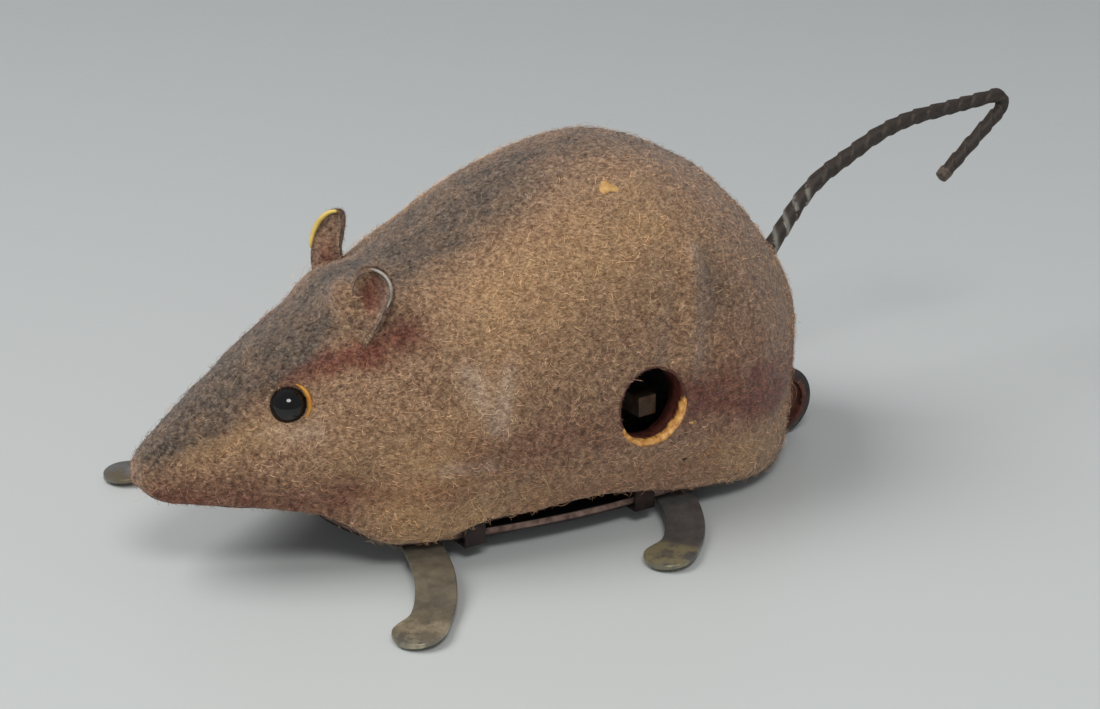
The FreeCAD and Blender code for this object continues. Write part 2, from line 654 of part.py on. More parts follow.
def build():
    """Every piece by name, in the drawing frame."""
    openings = shell_openings()
    tab_places = [(x, side) for x in TAB_X for side in (-1, 1)]
    shell = body_shell(openings)
    for x, side in tab_places:
        shell = shell.fuse(shell_tab(x, side))
    head_form = body_form(FLOCK)
    nodes = {
        "body_shell": shell.removeSplitter(),
        "flock_covering": flock_covering(openings),
        "ear_left": ear(-1, head_form),
        "ear_right": ear(1, head_form),
        "eye_bead_left": eye_bead(-1),
        "eye_bead_right": eye_bead(1),
        "tail_wire": swept_tail(TAIL_WIRE_R),
        "tail_wrapping": swept_tail(TAIL_R).cut(swept_tail(TAIL_WIRE_R)),
        "base_plate": base_plate(tab_places),
        "leg_rivets": leg_rivets(),
        "frame_plate_left": frame_plate(-1),
        "frame_plate_right": frame_plate(1),
        "frame_pillars": frame_pillars(),
        "pillar_rivets": pillar_rivets(),
        "winding_arbor": winding_arbor(),
        "ratchet_wheel": ratchet_wheel(),
        "click": click(),
        "click_rivet": click_rivet(),
        "click_spring": click_spring(),
        "mainspring": mainspring(),
        "second_arbor": thin_arbor(SECOND_AXIS),
        "third_arbor": thin_arbor(THIRD_AXIS),
        "drive_axle": drive_axle(),
        "drive_wheel_left": drive_wheel(-1),
        "drive_wheel_right": drive_wheel(1),
        "tyre_left": tyre(-1),
        "tyre_right": tyre(1),
        "front_wheel": front_wheel(),
        "front_axle": front_axle(),
    }
    nodes["eye_wire"] = eye_wire([nodes["eye_bead_left"], nodes["eye_bead_right"]])
    nodes.update(gear_train())
    for name, points in FEET.items():
        nodes[name] = foot(points)
    return nodes


def export(nodes):
    """Moves the model to its origin and writes one file per piece."""
    whole = Part.makeCompound(list(nodes.values())).optimalBoundingBox()
    shift = Vector(round(-(whole.XMin + whole.XMax) / 2, 2), 0, 0)
    print("moved by", shift, "size", whole.XLength, whole.YLength, whole.ZLength)
    os.makedirs("parts", exist_ok=True)
    for name, shape in nodes.items():
        shape = shape.copy()
        shape.translate(shift)
        print(f"{name:18s} solids {len(shape.Solids)} valid {shape.isValid()} volume {shape.Volume:9.2f}")
        shape.exportStep(f"parts/{name}.step")


export(build())
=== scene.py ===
import json
import math
import bmesh
import bpy
import numpy as np
from mathutils import Euler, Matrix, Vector, noise


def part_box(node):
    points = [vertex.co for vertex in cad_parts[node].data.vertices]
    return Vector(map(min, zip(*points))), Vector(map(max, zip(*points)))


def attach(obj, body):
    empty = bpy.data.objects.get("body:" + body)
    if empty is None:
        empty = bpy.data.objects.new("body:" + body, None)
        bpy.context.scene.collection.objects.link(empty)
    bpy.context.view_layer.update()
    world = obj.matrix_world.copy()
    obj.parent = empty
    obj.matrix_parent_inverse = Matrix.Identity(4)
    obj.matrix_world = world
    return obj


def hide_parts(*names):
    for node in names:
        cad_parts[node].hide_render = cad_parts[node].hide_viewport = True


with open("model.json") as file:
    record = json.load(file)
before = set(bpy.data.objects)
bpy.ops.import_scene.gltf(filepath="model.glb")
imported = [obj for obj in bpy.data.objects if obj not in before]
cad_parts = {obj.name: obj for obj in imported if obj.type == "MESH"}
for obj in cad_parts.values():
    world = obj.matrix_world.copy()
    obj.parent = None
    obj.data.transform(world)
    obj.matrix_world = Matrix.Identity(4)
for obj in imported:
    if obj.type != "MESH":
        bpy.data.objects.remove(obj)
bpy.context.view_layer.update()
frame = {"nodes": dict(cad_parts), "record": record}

# Shapes are drawn in millimetres in the part's drawing frame: x from the nose (-) to the tail (+),
# y across with the mouse's left at -y, z up from the floor. DRAWN_TO_ROW moves them to the row frame.
MM = 0.001
SHELL_NOSE_X = -43.2
DRAWN_TO_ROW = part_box("body_shell")[0].x / MM - SHELL_NOSE_X
BODY = "mouse_body"
rng = np.random.default_rng(7)

# --- sizes -------------------------------------------------------------------------------------
FLOCK = 0.5               # outer face of the flock above the tin
# hoops of the tin form: x, half width, height of the lower edge, of the widest point, of the top
HOOPS = [
    (-43.2, 1.3, 10.0, 11.4, 12.4),
    (-42.2, 2.2, 9.2, 11.4, 13.5),
    (-39.5, 3.9, 8.7, 11.3, 15.3),
    (-34.0, 6.6, 7.9, 11.2, 18.9),
    (-27.0, 10.0, 6.0, 11.0, 22.9),
    (-23.0, 11.9, 3.7, 11.0, 24.7),
    (-19.0, 13.8, 3.3, 11.0, 26.6),
    (-10.0, 16.4, 4.4, 11.5, 30.6),
    (0.0, 17.9, 4.7, 12.0, 35.1),
    (10.0, 18.1, 2.9, 12.5, 36.5),
    (20.0, 17.3, 1.8, 12.5, 32.7),
    (27.0, 12.6, 1.9, 12.5, 26.6),
    (31.5, 6.9, 3.2, 12.5, 20.8),
    (33.6, 4.2, 6.0, 12.4, 17.2),
    (34.3, 2.2, 8.6, 12.2, 14.6),
]
NOSE_POLE = (-43.7, 11.3)
RUMP_POLE = (34.9, 12.2)
EDGE_TUCK = 0.95           # half width at the lower edge, as a share of the widest
EDGE_TURN_R = 0.45         # rounding of the lower edge
KEYHOLE = (4.9, 13.8)     # x and z of its middle
KEYHOLE_R = 4.0
EYE = (-29.7, 6.0, 17.6)
EYE_R = 1.9
SOCKET_R = 2.15
EYE_SUNK = {"left": 0.1, "right": 0.6}
AMBER_R = 2.12             # the thread of lacquer round a bead, and how far in front of its middle
AMBER_FORWARD = 0.95
PLATE_Z = 0.0020           # metres: underside of the base plate, and the top of its rim
RIM_TOP_Z = 0.0029
RIM_FOOT_SHADE_H = 0.00045     # the copper begins within this height of the underside; below it the rim is painted dark as shade
SHELL_SHADE_Z = (0.006, 0.010)   # the shell is painted black below the first height as the shade under the body, unshaded above the second
WHEEL_SLOT = (26.0, 5.15, 7.85, 8.8)   # front end, inner and outer y, top
INSIDE = (-4.0, 0.0, 13.0)   # a point well inside the body
HOOP_COUNT = 330             # hoops along the finished body


# --- small geometry helpers --------------------------------------------------------------------
def hermite(knots, values, at):
    """A smooth curve through values at the knots."""
    knots = np.asarray(knots, float)
    values = np.asarray(values, float)
    slope = np.gradient(values, knots, axis=0)
    index = np.clip(np.searchsorted(knots, at) - 1, 0, len(knots) - 2)
    gap = (knots[index + 1] - knots[index])[:, None]
    t = (at[:, None] - knots[index][:, None]) / gap
    near, far = values[index], values[index + 1]
    out = (2 * t ** 3 - 3 * t ** 2 + 1) * near + (3 * t ** 2 - 2 * t ** 3) * far
    return out + ((t ** 3 - 2 * t ** 2 + t) * slope[index] + (t ** 3 - t ** 2) * slope[index + 1]) * gap


def smoothstep(value, low, high):
    t = np.clip((value - low) / (high - low), 0, 1)
    return t * t * (3 - 2 * t)


def blob(p, centre, radii):
    """A soft spot of height 1."""
    q = (p - np.array(centre)) / np.array(radii)
    return np.exp(-(q ** 2).sum(-1))


def streak(p, start, end, radius):
    """A soft band along a straight line."""
    a, b = np.array(start), np.array(end)
    t = np.clip(((p - a) @ (b - a)) / ((b - a) @ (b - a)), 0, 1)
    gap = p - (a + t[..., None] * (b - a))
    return np.exp(-((gap / radius) ** 2).sum(-1))


def length_along(path):
    """The distance along a path at each of its points."""
    return np.concatenate([[0], np.cumsum(np.linalg.norm(np.diff(path, axis=0), axis=1))])


def unit(vectors):
    """The same directions with length 1."""
    return vectors / np.maximum(np.linalg.norm(vectors, axis=-1, keepdims=True), 1e-9)


def round_steps(count):
    """Equal angles round a full turn."""
    return np.arange(count) * 2 * math.pi / count


def circle(across, other, angle):
    """Directions at angles round the circle of two unit vectors."""
    return np.cos(angle)[:, None] * across + np.sin(angle)[:, None] * other


def folded(p):
    """Points moved to the mouse's left side, for what is the same on both sides."""
    q = p.copy()
    q[..., 1] = -np.abs(q[..., 1])
    return q


def fractal(points, scale, octaves=3):
    """Smooth noise at each point, from about -1 to 1."""
    flat = points.reshape(-1, 3) * scale
    values = [noise.fractal(Vector(p), 1.0, 2.0, octaves, noise_basis="PERLIN_ORIGINAL") for p in flat]
    return np.array(values).reshape(points.shape[:-1])


def grid_faces(rows, columns, closed=False):
    """Quads between the rows of a grid of points, joined round the columns if closed."""
    i = np.arange(rows - 1)[:, None]
    j = np.arange(columns if closed else columns - 1)[None, :]
    k = (j + 1) % columns
    quads = [i * columns + j, i * columns + k, (i + 1) * columns + k, (i + 1) * columns + j]
    return np.stack(np.broadcast_arrays(*quads), -1).reshape(-1, 4)


def quad_list(rows, columns, closed=False):
    """The same quads as a list, to which other faces can be added."""
    return [tuple(face) for face in grid_faces(rows, columns, closed)]


def closed_shape(rings, tips):
    """Points and faces of rings joined in a row, with a point closing each end."""
    around = len(rings[0])
    points = np.concatenate([*rings, tips])
    faces = quad_list(len(rings), around, closed=True)
    first = len(points) - 2
    top = first - around
    faces += [(first, (k + 1) % around, k) for k in range(around)]
    faces += [(first + 1, top + k, top + (k + 1) % around) for k in range(around)]
    return points, faces


def domed(rings, path, tangent, shrink, shoulder, crown):
    """Adds a smaller ring at both ends of a tube, and gives the two points that close it.

    shoulder and crown say how far that ring and that point stand past the first and the last end.
    """
    caps = []
    tips = []
    for index, sign in ((0, -1), (-1, 1)):
        ahead = tangent[index] * sign
        caps.append(path[index] + (rings[index] - path[index]) * shrink + ahead * shoulder[index])
        tips.append(path[index] + ahead * crown[index])
    return [caps[0], *rings, caps[1]], tips


def new_object(name, data):
    """An object that is in the scene."""
    made = bpy.data.objects.new(name, data)
    bpy.context.scene.collection.objects.link(made)
    return made


def make_piece(name, points, faces, material):
    """A smooth mesh from drawn points, riding on the mouse's body."""
    mesh = bpy.data.meshes.new(name)
    moved = (np.asarray(points, float).reshape(-1, 3) + [DRAWN_TO_ROW, 0, 0]) * MM
    mesh.from_pydata(moved.tolist(), [], [list(map(int, f)) for f in faces])
    mesh.validate()
    mesh.polygons.foreach_set("use_smooth", [True] * len(mesh.polygons))
    mesh.materials.append(material)
    piece = new_object(name, mesh)
    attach(piece, BODY)
    return piece


def paint(piece, name, values):
    """One colour per vertex, stored under a name."""
    layer = piece.data.color_attributes.new(name, "FLOAT_COLOR", "POINT")
    layer.data.foreach_set("color", np.asarray(values, float).reshape(-1))


# --- the body's form ---------------------------------------------------------------------------
def hoop_curve():
    """Interpolated hoops from pole to pole: columns x, half width, edge, widest, top."""
    rows = [(x, half + FLOCK, edge, wide, top + FLOCK) for x, half, edge, wide, top in HOOPS]
    for (x, z), place in ((NOSE_POLE, 0), (RUMP_POLE, len(rows))):
        rows.insert(place, (x, 0.0, z, z, z))
    rows = np.array(rows)
    knots = length_along(rows[:, [0, 1, 4]])
    return hermite(knots, rows, np.linspace(0, knots[-1], HOOP_COUNT))


def hoop_section(row, lip_steps=7, side_steps=22, arch_steps=120):
    """One section from the inner lip on the left, over the top, to the inner lip on the right."""
    x, half, edge, wide, top = row
    foot = half * EDGE_TUCK
    closing = 1 - smoothstep(x, -41.0, -33.0)
    lip = min(foot, 0.9) * (1 - closing) + foot * closing
    turn = min(EDGE_TURN_R, foot * 0.5)
    points = []
    for i in range(lip_steps):
        share = i / lip_steps
        points.append((-(foot - lip) - (lip - turn) * share, edge + 0.15 * (1 - share)))
    for i in range(5):
        angle = math.pi / 2 * i / 5
        points.append((-(foot - turn) - turn * math.sin(angle), edge + turn * (1 - math.cos(angle))))
    for i in range(side_steps):
        share = i / side_steps
        low = edge + turn
        points.append((-(foot + (half - foot) * math.sin(share * math.pi / 2)), low + (wide - low) * share))
    for i in range(arch_steps // 2):
        angle = math.pi * i / arch_steps
        points.append((-half * math.cos(angle), wide + (top - wide) * math.sin(angle)))
    right = [(-y, z) for y, z in reversed(points)]
    points.append((0.0, top))
    return [(x, y, z) for y, z in points + right]


def body_grid():
    return np.array([hoop_section(row) for row in hoop_curve()])


def grid_normals(grid):
    """Outward normals of a grid of points."""
    along = np.gradient(grid, axis=0)
    around = np.gradient(grid, axis=1)
    normal = unit(np.cross(along, around))
    outward = grid - np.array(INSIDE)
    return normal * np.sign((normal * outward).sum(-1, keepdims=True) + 1e-12)


# Soft marks: strength, then the centre and radii of a spot, or the start, end and radius of a band.
# First the pressed forms, on both sides and then along the back, with the swelling of the left brow.
SIDE_RELIEF = [
    (0.45, (19.5, -17.0, 8.0), (6.0, 6.0, 6.0)),
    (0.65, (9.6, -17.9, 17.0), (12.3, -14.6, 27.5), 1.0),
    (-0.30, (7.2, -18.0, 18.0), (9.4, -15.6, 26.5), 1.4),
    (-0.32, (12.8, -17.4, 18.5), (14.8, -14.8, 25.0), 1.8),
    (0.90, (-20.0, -13.0, 6.4), (4.2, 5.0, 3.6)),
    (-0.40, (-13.5, -16.0, 5.5), (3.5, 4.0, 3.0)),
    (-0.30, (-28.0, -9.0, 7.4), (-24.5, -11.4, 10.5), 1.6),
    (0.45, (-25.5, -10.0, 14.5), (5.0, 5.0, 4.0)),
    (-0.35, (-30.0, -7.4, 18.2), (2.9, 2.9, 2.9)),
    (0.45, (-31.5, -4.8, 20.4), (-25.5, -8.0, 22.0), 1.4),
    (-0.35, (-33.0, -7.4, 14.5), (-39.0, -4.4, 13.0), 1.3),
]
BACK_RELIEF = [
    (1.50, (-20.6, 0.0, 26.0), (2.5, 7.5, 5.0)),
    (1.90, (-21.4, -3.6, 25.0), (2.2, 2.2, 2.6)),
    (-0.35, (-15.8, 0.0, 28.5), (1.8, 8.0, 5.0)),
    (-0.35, (-12.0, 0.0, 30.0), (4.0, 0.0, 36.5), 6.0),
]
# the coat's dark patches, red airbrushing with painted shade under the ears, jaw and lower flanks,
# and tan parts on both sides, pale scuffs on the left side, and the scuff of both cheeks
STRIPE_MARKS = [
    (0.8, (-42.0, -1.6, 13.4), (-36.0, -2.6, 17.4), 1.8),
    (1.0, (-36.0, -3.0, 17.4), (-25.0, -4.4, 23.9), 2.0),
    (0.35, (-14.0, -4.5, 28.6), (-4.0, -5.0, 33.0), 3.2),
    (0.7, (14.4, -16.0, 24.0), (2.4, 2.6, 3.6)),
]
# red airbrushing, and painted shade beneath the ears, under the jaw, beside the keyhole and along the lower
# flanks
RED_AND_SHADE_MARKS = [
    (0.9, (-33.0, -3.2, 19.4), (-27.8, -5.2, 21.3), 0.8),
    (1.3, (-29.0, -5.6, 20.2), (-25.6, -6.8, 21.6), 1.2),
    (1.2, (-25.6, -6.8, 21.6), (-21.9, -8.4, 22.2), 1.0),
    (1.3, (-21.9, -8.6, 22.4), (-18.0, -9.4, 23.6), 1.7),
    (0.8, (-42.0, -3.0, 9.6), (-28.0, -10.5, 7.6), 2.4),
    (0.5, (-26.0, -11.0, 9.5), (-16.0, -15.5, 8.0), 1.8),
    (1.2, (10.0, -18.0, 13.5), (20.0, -17.0, 12.0), 3.0),
    (0.8, (18.0, -17.0, 11.5), (32.0, -9.0, 10.5), 2.8),
    (0.4, (-8.0, -17.5, 5.5), (12.0, -18.0, 5.5), 2.6),
    (0.5, (-14.0, -15.5, 12.0), (0.0, -18.0, 12.0), 2.6),
    (0.45, (18.0, -15.6, 17.0), (4.0, 4.0, 5.0)),
]
TAN_MARKS = [
    (0.45, (-24.0, -12.0, 13.0), (6.0, 6.0, 5.0)),
    (0.6, (-8.0, -17.0, 6.0), (9.0, -18.0, 6.0), 2.6),
    (0.6, (-21.0, -13.0, 6.5), (-13.0, -15.0, 17.0), 3.2),
    (0.9, (-8.0, -11.0, 25.0), (8.0, -11.0, 30.0), 6.0),
    (0.8, (-39.5, -3.8, 14.0), (-30.5, -7.0, 16.0), 1.5),
    (1.3, (-17.5, -14.6, 6.0), (5.5, 4.5, 4.5)),
    (0.8, (14.0, -18.2, 5.5), (24.0, -16.0, 5.5), 3.0),
]
LEFT_SCUFFS = [
    (0.8, (-14.2, -13.9, 20.0), (-12.0, -16.2, 14.8), 1.3),
    (0.9, (-10.2, -15.2, 19.8), (-12.0, -16.2, 14.8), 0.8),
    (0.8, (-17.6, -14.8, 11.0), (-12.8, -16.3, 10.8), 0.7),
    (0.7, (9.6, -17.9, 17.5), (12.3, -14.6, 27.5), 0.7),
    (0.7, (-16.0, 0.0, 29.0), (1.6, 3.0, 1.6)),
]
CHEEK_SCUFFS = [
    (0.6, (-33.0, -7.2, 16.0), (-28.5, -9.0, 15.6), 1.0),
]


def add_marks(total, p, marks):
    """Adds the height of every soft mark at each point."""
    for strength, *shape in marks:
        kind = blob if len(shape) == 2 else streak
        total = total + strength * kind(p, *shape)
    return total


def body_relief(p):
    """The pressed forms of haunch, shoulder, cheek and brow, and the worn unevenness of the flock."""
    relief = add_marks(0.0, folded(p), SIDE_RELIEF)
    relief = add_marks(relief, p, BACK_RELIEF)
    relief += 0.12 * fractal(p, 0.22, 2) + 0.05 * fractal(p, 1.3, 2)
    at_rump = smoothstep(p[..., 0], 29.0, 32.5)
    return np.maximum(relief, 0.14 - FLOCK) * (1 - at_rump) + 0.45 * at_rump


def coat_zones(p):
    """How much of each tint a point of the coat takes: back stripe, dark red airbrushing with painted
    shade, tan, pale scuff.
    """
    q = folded(p)
    along = smoothstep(p[..., 0], -46, -43) * (1 - smoothstep(p[..., 0], 26, 35))
    width = 3.4 + 1.6 * smoothstep(p[..., 0], -30, -5)
    stripe = 1.15 * np.exp(-(p[..., 1] / width) ** 2) * smoothstep(p[..., 2], 12, 16) * along
    stripe *= 1 - 0.40 * smoothstep(p[..., 0], -4, 12)
    zones = [add_marks(stripe, q, STRIPE_MARKS)]
    zones += [add_marks(0.0, q, marks) for marks in (RED_AND_SHADE_MARKS, TAN_MARKS)]
    zones.append(add_marks(add_marks(0.0, p, LEFT_SCUFFS), q, CHEEK_SCUFFS))
    uneven = fractal(p, 0.35, 3)
    return np.clip(np.stack(zones, -1) * (1 + 0.45 * uneven[..., None]), 0, 1)


# --- materials ---------------------------------------------------------------------------------
# Colours are written as display colours, from 0 to 255.
def rgb(red, green, blue):
    """A display colour as the linear colour that a shader takes."""
    linear = [((c / 255 + 0.055) / 1.055) ** 2.4 if c > 10 else c / 255 / 12.92 for c in (red, green, blue)]
    return (*linear, 1.0)


def connect(tree, node, inputs):
    """Links each input to a socket, or sets it to a value."""
    for key, value in inputs.items():
        if isinstance(value, bpy.types.NodeSocket):
            tree.links.new(value, node.inputs[key])
        else:
            node.inputs[key].default_value = value


def add(tree, kind, inputs=None, **settings):
    """A shader node of a kind, with its settings and inputs."""
    node = tree.nodes.new("ShaderNode" + kind)
    for key, value in settings.items():
        setattr(node, key, value)
    connect(tree, node, inputs or {})
    return node


def new_material(name):
    """A material, its node tree, and where each of its points is on the object."""
    material = bpy.data.materials.new(name)
    material.use_nodes = True
    tree = material.node_tree
    return material, tree, add(tree, "TexCoord").outputs["Object"]


def grain(tree, where, scale, detail=4.0, roughness=0.6, stretch=None):
    """Noise from 0 to 1; scale is in waves per metre."""
    if stretch:
        where = add(tree, "Mapping", {"Vector": where, "Scale": stretch}).outputs["Vector"]
    inputs = {"Vector": where, "Scale": scale, "Detail": detail, "Roughness": roughness}
    return add(tree, "TexNoise", inputs).outputs["Fac"]


def tones(tree, value, low, high, dark, light):
    """From one colour where the value is low to another where it is high."""
    node = add(tree, "ValToRGB", {"Fac": value})
    for element, at, colour in zip(node.color_ramp.elements, (low, high), (dark, light)):
        element.position = at
        element.color = rgb(*colour)
    return node.outputs["Color"]


def levels(tree, value, low, high, to_low=0.0, to_high=1.0):
    """A value stretched from one range to another and clamped."""
    inputs = {"Value": value, "From Min": low, "From Max": high, "To Min": to_low, "To Max": to_high}
    return add(tree, "MapRange", inputs).outputs["Result"]


def blend_colour(tree, amount, first, second, mode="MIX"):
    inputs = {0: amount, 6: first, 7: second}
    return add(tree, "Mix", inputs, data_type="RGBA", blend_type=mode).outputs[2]


def product(tree, first, second):
    inputs = {0: first, 1: second}
    return add(tree, "Math", inputs, operation="MULTIPLY", use_clamp=True).outputs[0]


def z_of(tree, vector):
    return add(tree, "SeparateXYZ", {"Vector": vector}).outputs["Z"]


def painted(tree, name):
    """The red, green, blue and alpha of a layer painted on the piece."""
    layer = add(tree, "Attribute", attribute_name=name)
    split = add(tree, "SeparateColor", {"Color": layer.outputs["Color"]})
    return [*split.outputs, layer.outputs["Alpha"]]


def finish(material, colour, fine, rough, relief=None, others=None):
    """Links a colour, and a gloss and a surface that follow the fine grain.

    rough is the roughness in the grain's hollows and on its tops; relief is the bump's strength and depth.
    """
    tree = material.node_tree
    inputs = {"Base Color": colour, "Roughness": levels(tree, fine, 0.3, 0.7, *rough), **(others or {})}
    if relief:
        bump = add(tree, "Bump", {"Height": fine, "Strength": relief[0], "Distance": relief[1]})
        inputs["Normal"] = bump.outputs["Normal"]
    connect(tree, tree.nodes["Principled BSDF"], inputs)
    return material


WHITE = (255, 255, 255)
COAT_DARK = (121, 91, 74)
COAT_LIGHT = (206, 169, 134)
COAT_STRIPE = (138, 122, 106)
COAT_STRIPE_DARK = (66, 59, 56)
# the red zone's colours: red airbrushing, and painted shade under the ears, jaw and lower flanks
COAT_SHADE_RED_DARK = (94, 50, 42)
COAT_SHADE_RED = (156, 98, 80)
COAT_TAN = (203, 165, 122)
COAT_PALE = (210, 184, 160)


def coat_colour(tree, where):
    """The coat's colour: mottled taupe, the painted zones over it, the red one also carrying painted shade,
    and soiling over all.
    """
    stripe, red, tan, scuff = painted(tree, "zones")
    fine = grain(tree, where, 1900, 5.0, 0.75)
    patch = levels(tree, grain(tree, where, 330, 4.0, 0.7), 0.30, 0.62, 0.60, 1.0)
    colour = tones(tree, fine, 0.36, 0.64, COAT_DARK, COAT_LIGHT)
    tints = [
        (tan, rgb(*COAT_TAN)),
        (scuff, rgb(*COAT_PALE)),
        # the red zone: red airbrushing and painted shade
        (red, tones(tree, fine, 0.36, 0.66, COAT_SHADE_RED_DARK, COAT_SHADE_RED)),
        (stripe, tones(tree, fine, 0.36, 0.66, COAT_STRIPE_DARK, COAT_STRIPE)),
    ]
    for zone, tint in tints:
        colour = blend_colour(tree, product(tree, zone, patch), colour, tint)
    soil = tones(tree, grain(tree, where, 1400, 5.0, 0.7), 0.38, 0.56, (220, 213, 207), WHITE)
    return blend_colour(tree, 1.0, colour, soil, "MULTIPLY")


def skin_material():
    """The flock seen as a close nap: short strokes of light and shade."""
    material, tree, where = new_material("flock_nap")
    strokes = grain(tree, where, 2600, 6.0, 0.75, (1.0, 1.0, 2.2))
    shade = tones(tree, strokes, 0.3, 0.62, (120, 112, 106), WHITE)
    colour = blend_colour(tree, 1.0, coat_colour(tree, where), shade, "MULTIPLY")
    sheen = {"Sheen Weight": 0.25, "Sheen Roughness": 0.4, "Specular IOR Level": 0.2}
    return finish(material, colour, strokes, (0.95, 0.8), (0.8, 0.00025), sheen)


def fibre_material():
    """Single fibres: the coat's colour under them, each a little lighter or darker."""
    material, tree, where = new_material("flock_fibre")
    tone = add(tree, "Attribute", attribute_name="tone").outputs["Color"]
    colour = blend_colour(tree, 1.0, coat_colour(tree, where), tone, "MULTIPLY")
    gloss = grain(tree, where, 1500)
    return finish(material, colour, gloss, (0.7, 0.9), others={"Specular IOR Level": 0.3})


def metal_material(
    name, light, dark, stain, scale=500, metallic=0.85, rough=(0.35, 0.6), stain_from=0.52, only_where=None
):
    """Worn metal: two tones of the metal with stains, and a finer grain in the gloss and surface."""
    material, tree, where = new_material(name)
    colour = tones(tree, grain(tree, where, scale, 5.0, 0.65), 0.35, 0.65, dark, light)
    stained = levels(tree, grain(tree, where, scale * 0.7, 6.0, 0.7), stain_from, stain_from + 0.14)
    if only_where:
        stained = product(tree, stained, painted(tree, only_where)[0])
    colour = blend_colour(tree, stained, colour, rgb(*stain))
    fine = grain(tree, where, scale * 9, 3.0, 0.6)
    return finish(material, colour, fine, rough, (0.25, 0.00006), {"Metallic": metallic})


def mottled(tree, where, dark, light):
    """Old lacquer in two tones, and the broad grain between them."""
    broad = grain(tree, where, 420, 5.0, 0.65)
    return tones(tree, broad, 0.35, 0.65, dark, light), broad


def finish_lacquer(material, colour, broad, rough=(0.35, 0.65)):
    return finish(material, colour, broad, rough, (0.2, 0.0001), {"Metallic": 0.3})


def lacquer_material(name, light, dark, worn, worn_from=0.60):
    """Old lacquer over tin, mottled, with small worn spots."""
    material, tree, where = new_material(name)
    colour, broad = mottled(tree, where, dark, light)
    spots = levels(tree, grain(tree, where, 1300, 4.0, 0.7), worn_from, worn_from + 0.06)
    return finish_lacquer(material, blend_colour(tree, spots, colour, rgb(*worn)), broad)


def shell_material():
    """Red-brown lacquer, painted black towards the lower edge as the shade under the body."""
    material, tree, where = new_material("shell_lacquer")
    # painted shade: near black low on the shell, where the body's shade falls, red lacquer higher up
    black, _ = mottled(tree, where, (26, 20, 19), (52, 38, 34))
    red, broad = mottled(tree, where, (58, 24, 19), (110, 48, 34))
    unshaded = levels(tree, z_of(tree, where), *SHELL_SHADE_Z)
    return finish_lacquer(material, blend_colour(tree, unshaded, black, red), broad)


def plate_material():
    """Tin painted near black as the shade under the body, its upturned rim rubbed to a coppery line that is
    broken by grime, with painted shade along the rim's foot and top.
    """
    material, tree, where = new_material("base_plate_rubbed")
    # painted shade: the plate is near black, as the shade under the body
    black, broad = mottled(tree, where, (24, 20, 20), (48, 40, 38))
    copper = tones(tree, grain(tree, where, 1100, 4.0), 0.35, 0.65, (92, 68, 60), (146, 120, 108))
    height = z_of(tree, where)
    # painted shade: dark bands at the rim's foot and just below its top, and on faces that look up
    rubbed = levels(tree, levels(tree, height, PLATE_Z, PLATE_Z + RIM_FOOT_SHADE_H), 0.35, 0.6)
    below_edge = levels(tree, levels(tree, height, PLATE_Z, RIM_TOP_Z), 1.0, 0.88)
    unsoiled = levels(tree, broad, 0.28, 0.45, 0.35, 1.0)
    facing = add(tree, "TexCoord").outputs["Normal"]
    upright = levels(tree, z_of(tree, facing), 0.3, 0.6, 1.0, 0.0)
    for part in (below_edge, unsoiled, upright):
        rubbed = product(tree, rubbed, part)
    return finish_lacquer(material, blend_colour(tree, rubbed, black, copper), broad, (0.4, 0.65))


def worn_lacquer_rim():
    """Yellow lacquer showing through, deeper red-brown where it isn't rubbed."""
    material, tree, where = new_material("rubbed_lacquer")
    fine = grain(tree, where, 1500, 5.0, 0.7)
    yellow = tones(tree, fine, 0.35, 0.65, (168, 100, 40), (238, 184, 104))
    dark = tones(tree, fine, 0.35, 0.65, (52, 22, 18), (96, 50, 38))
    rub = add(tree, "Math", {0: painted(tree, "wear")[0], 1: fine}, operation="ADD").outputs[0]
    colour = blend_colour(tree, levels(tree, rub, 1.0, 1.25), dark, yellow)
    return finish(material, colour, fine, (0.35, 0.6), (0.3, 0.0001))


def glass_material():
    """Polished black glass with the faintest smears."""
    material, tree, where = new_material("black_glass_bead")
    smear = grain(tree, where, 900, 3.0)
    colour = tones(tree, smear, 0.3, 0.7, (4, 4, 5), (10, 9, 10))
    return finish(material, colour, smear, (0.03, 0.07), others={"Specular IOR Level": 0.5})


def tape_material():
    """Dark waxed tape wound on the tail; its edges are rubbed, and bare wire glints near the root."""
    material, tree, where = new_material("tail_tape_wound")
    edge, bare, _, _ = painted(tree, "winding")
    fine = grain(tree, where, 3200, 5.0, 0.7)
    colour = tones(tree, fine, 0.3, 0.7, (24, 20, 17), (62, 52, 44))
    edge = product(tree, edge, levels(tree, fine, 0.35, 0.6))
    colour = blend_colour(tree, edge, colour, rgb(96, 82, 70))
    bare = product(tree, bare, levels(tree, grain(tree, where, 800), 0.42, 0.5))
    colour = blend_colour(tree, bare, colour, rgb(186, 182, 172))
    return finish(material, colour, fine, (0.45, 0.75), (0.5, 0.00012), {"Metallic": bare})


def rubber_material():
    """Old rubber, grey with dust."""
    material, tree, where = new_material("tyre_old_rubber")
    fine = grain(tree, where, 2200, 5.0, 0.7)
    dust = product(tree, levels(tree, grain(tree, where, 600, 4.0), 0.45, 0.75), 0.45)
    rubber = tones(tree, fine, 0.3, 0.7, (30, 28, 28), (58, 54, 52))
    colour = blend_colour(tree, dust, rubber, rgb(96, 84, 76))
    return finish(material, colour, fine, (0.6, 0.85), (0.4, 0.0001))


# --- flock -------------------------------------------------------------------------------------
SHORT_FIBRES = 48000
LONG_FIBRES = 9000
STRAY_HAIRS = 90
EAR_FIBRES = 1300          # on each face of an ear
LEFT_FLANK_Y = -8          # what is further out than this is on the left flank
RIM_SMOOTHING = 12         # passes over the normals along an open edge


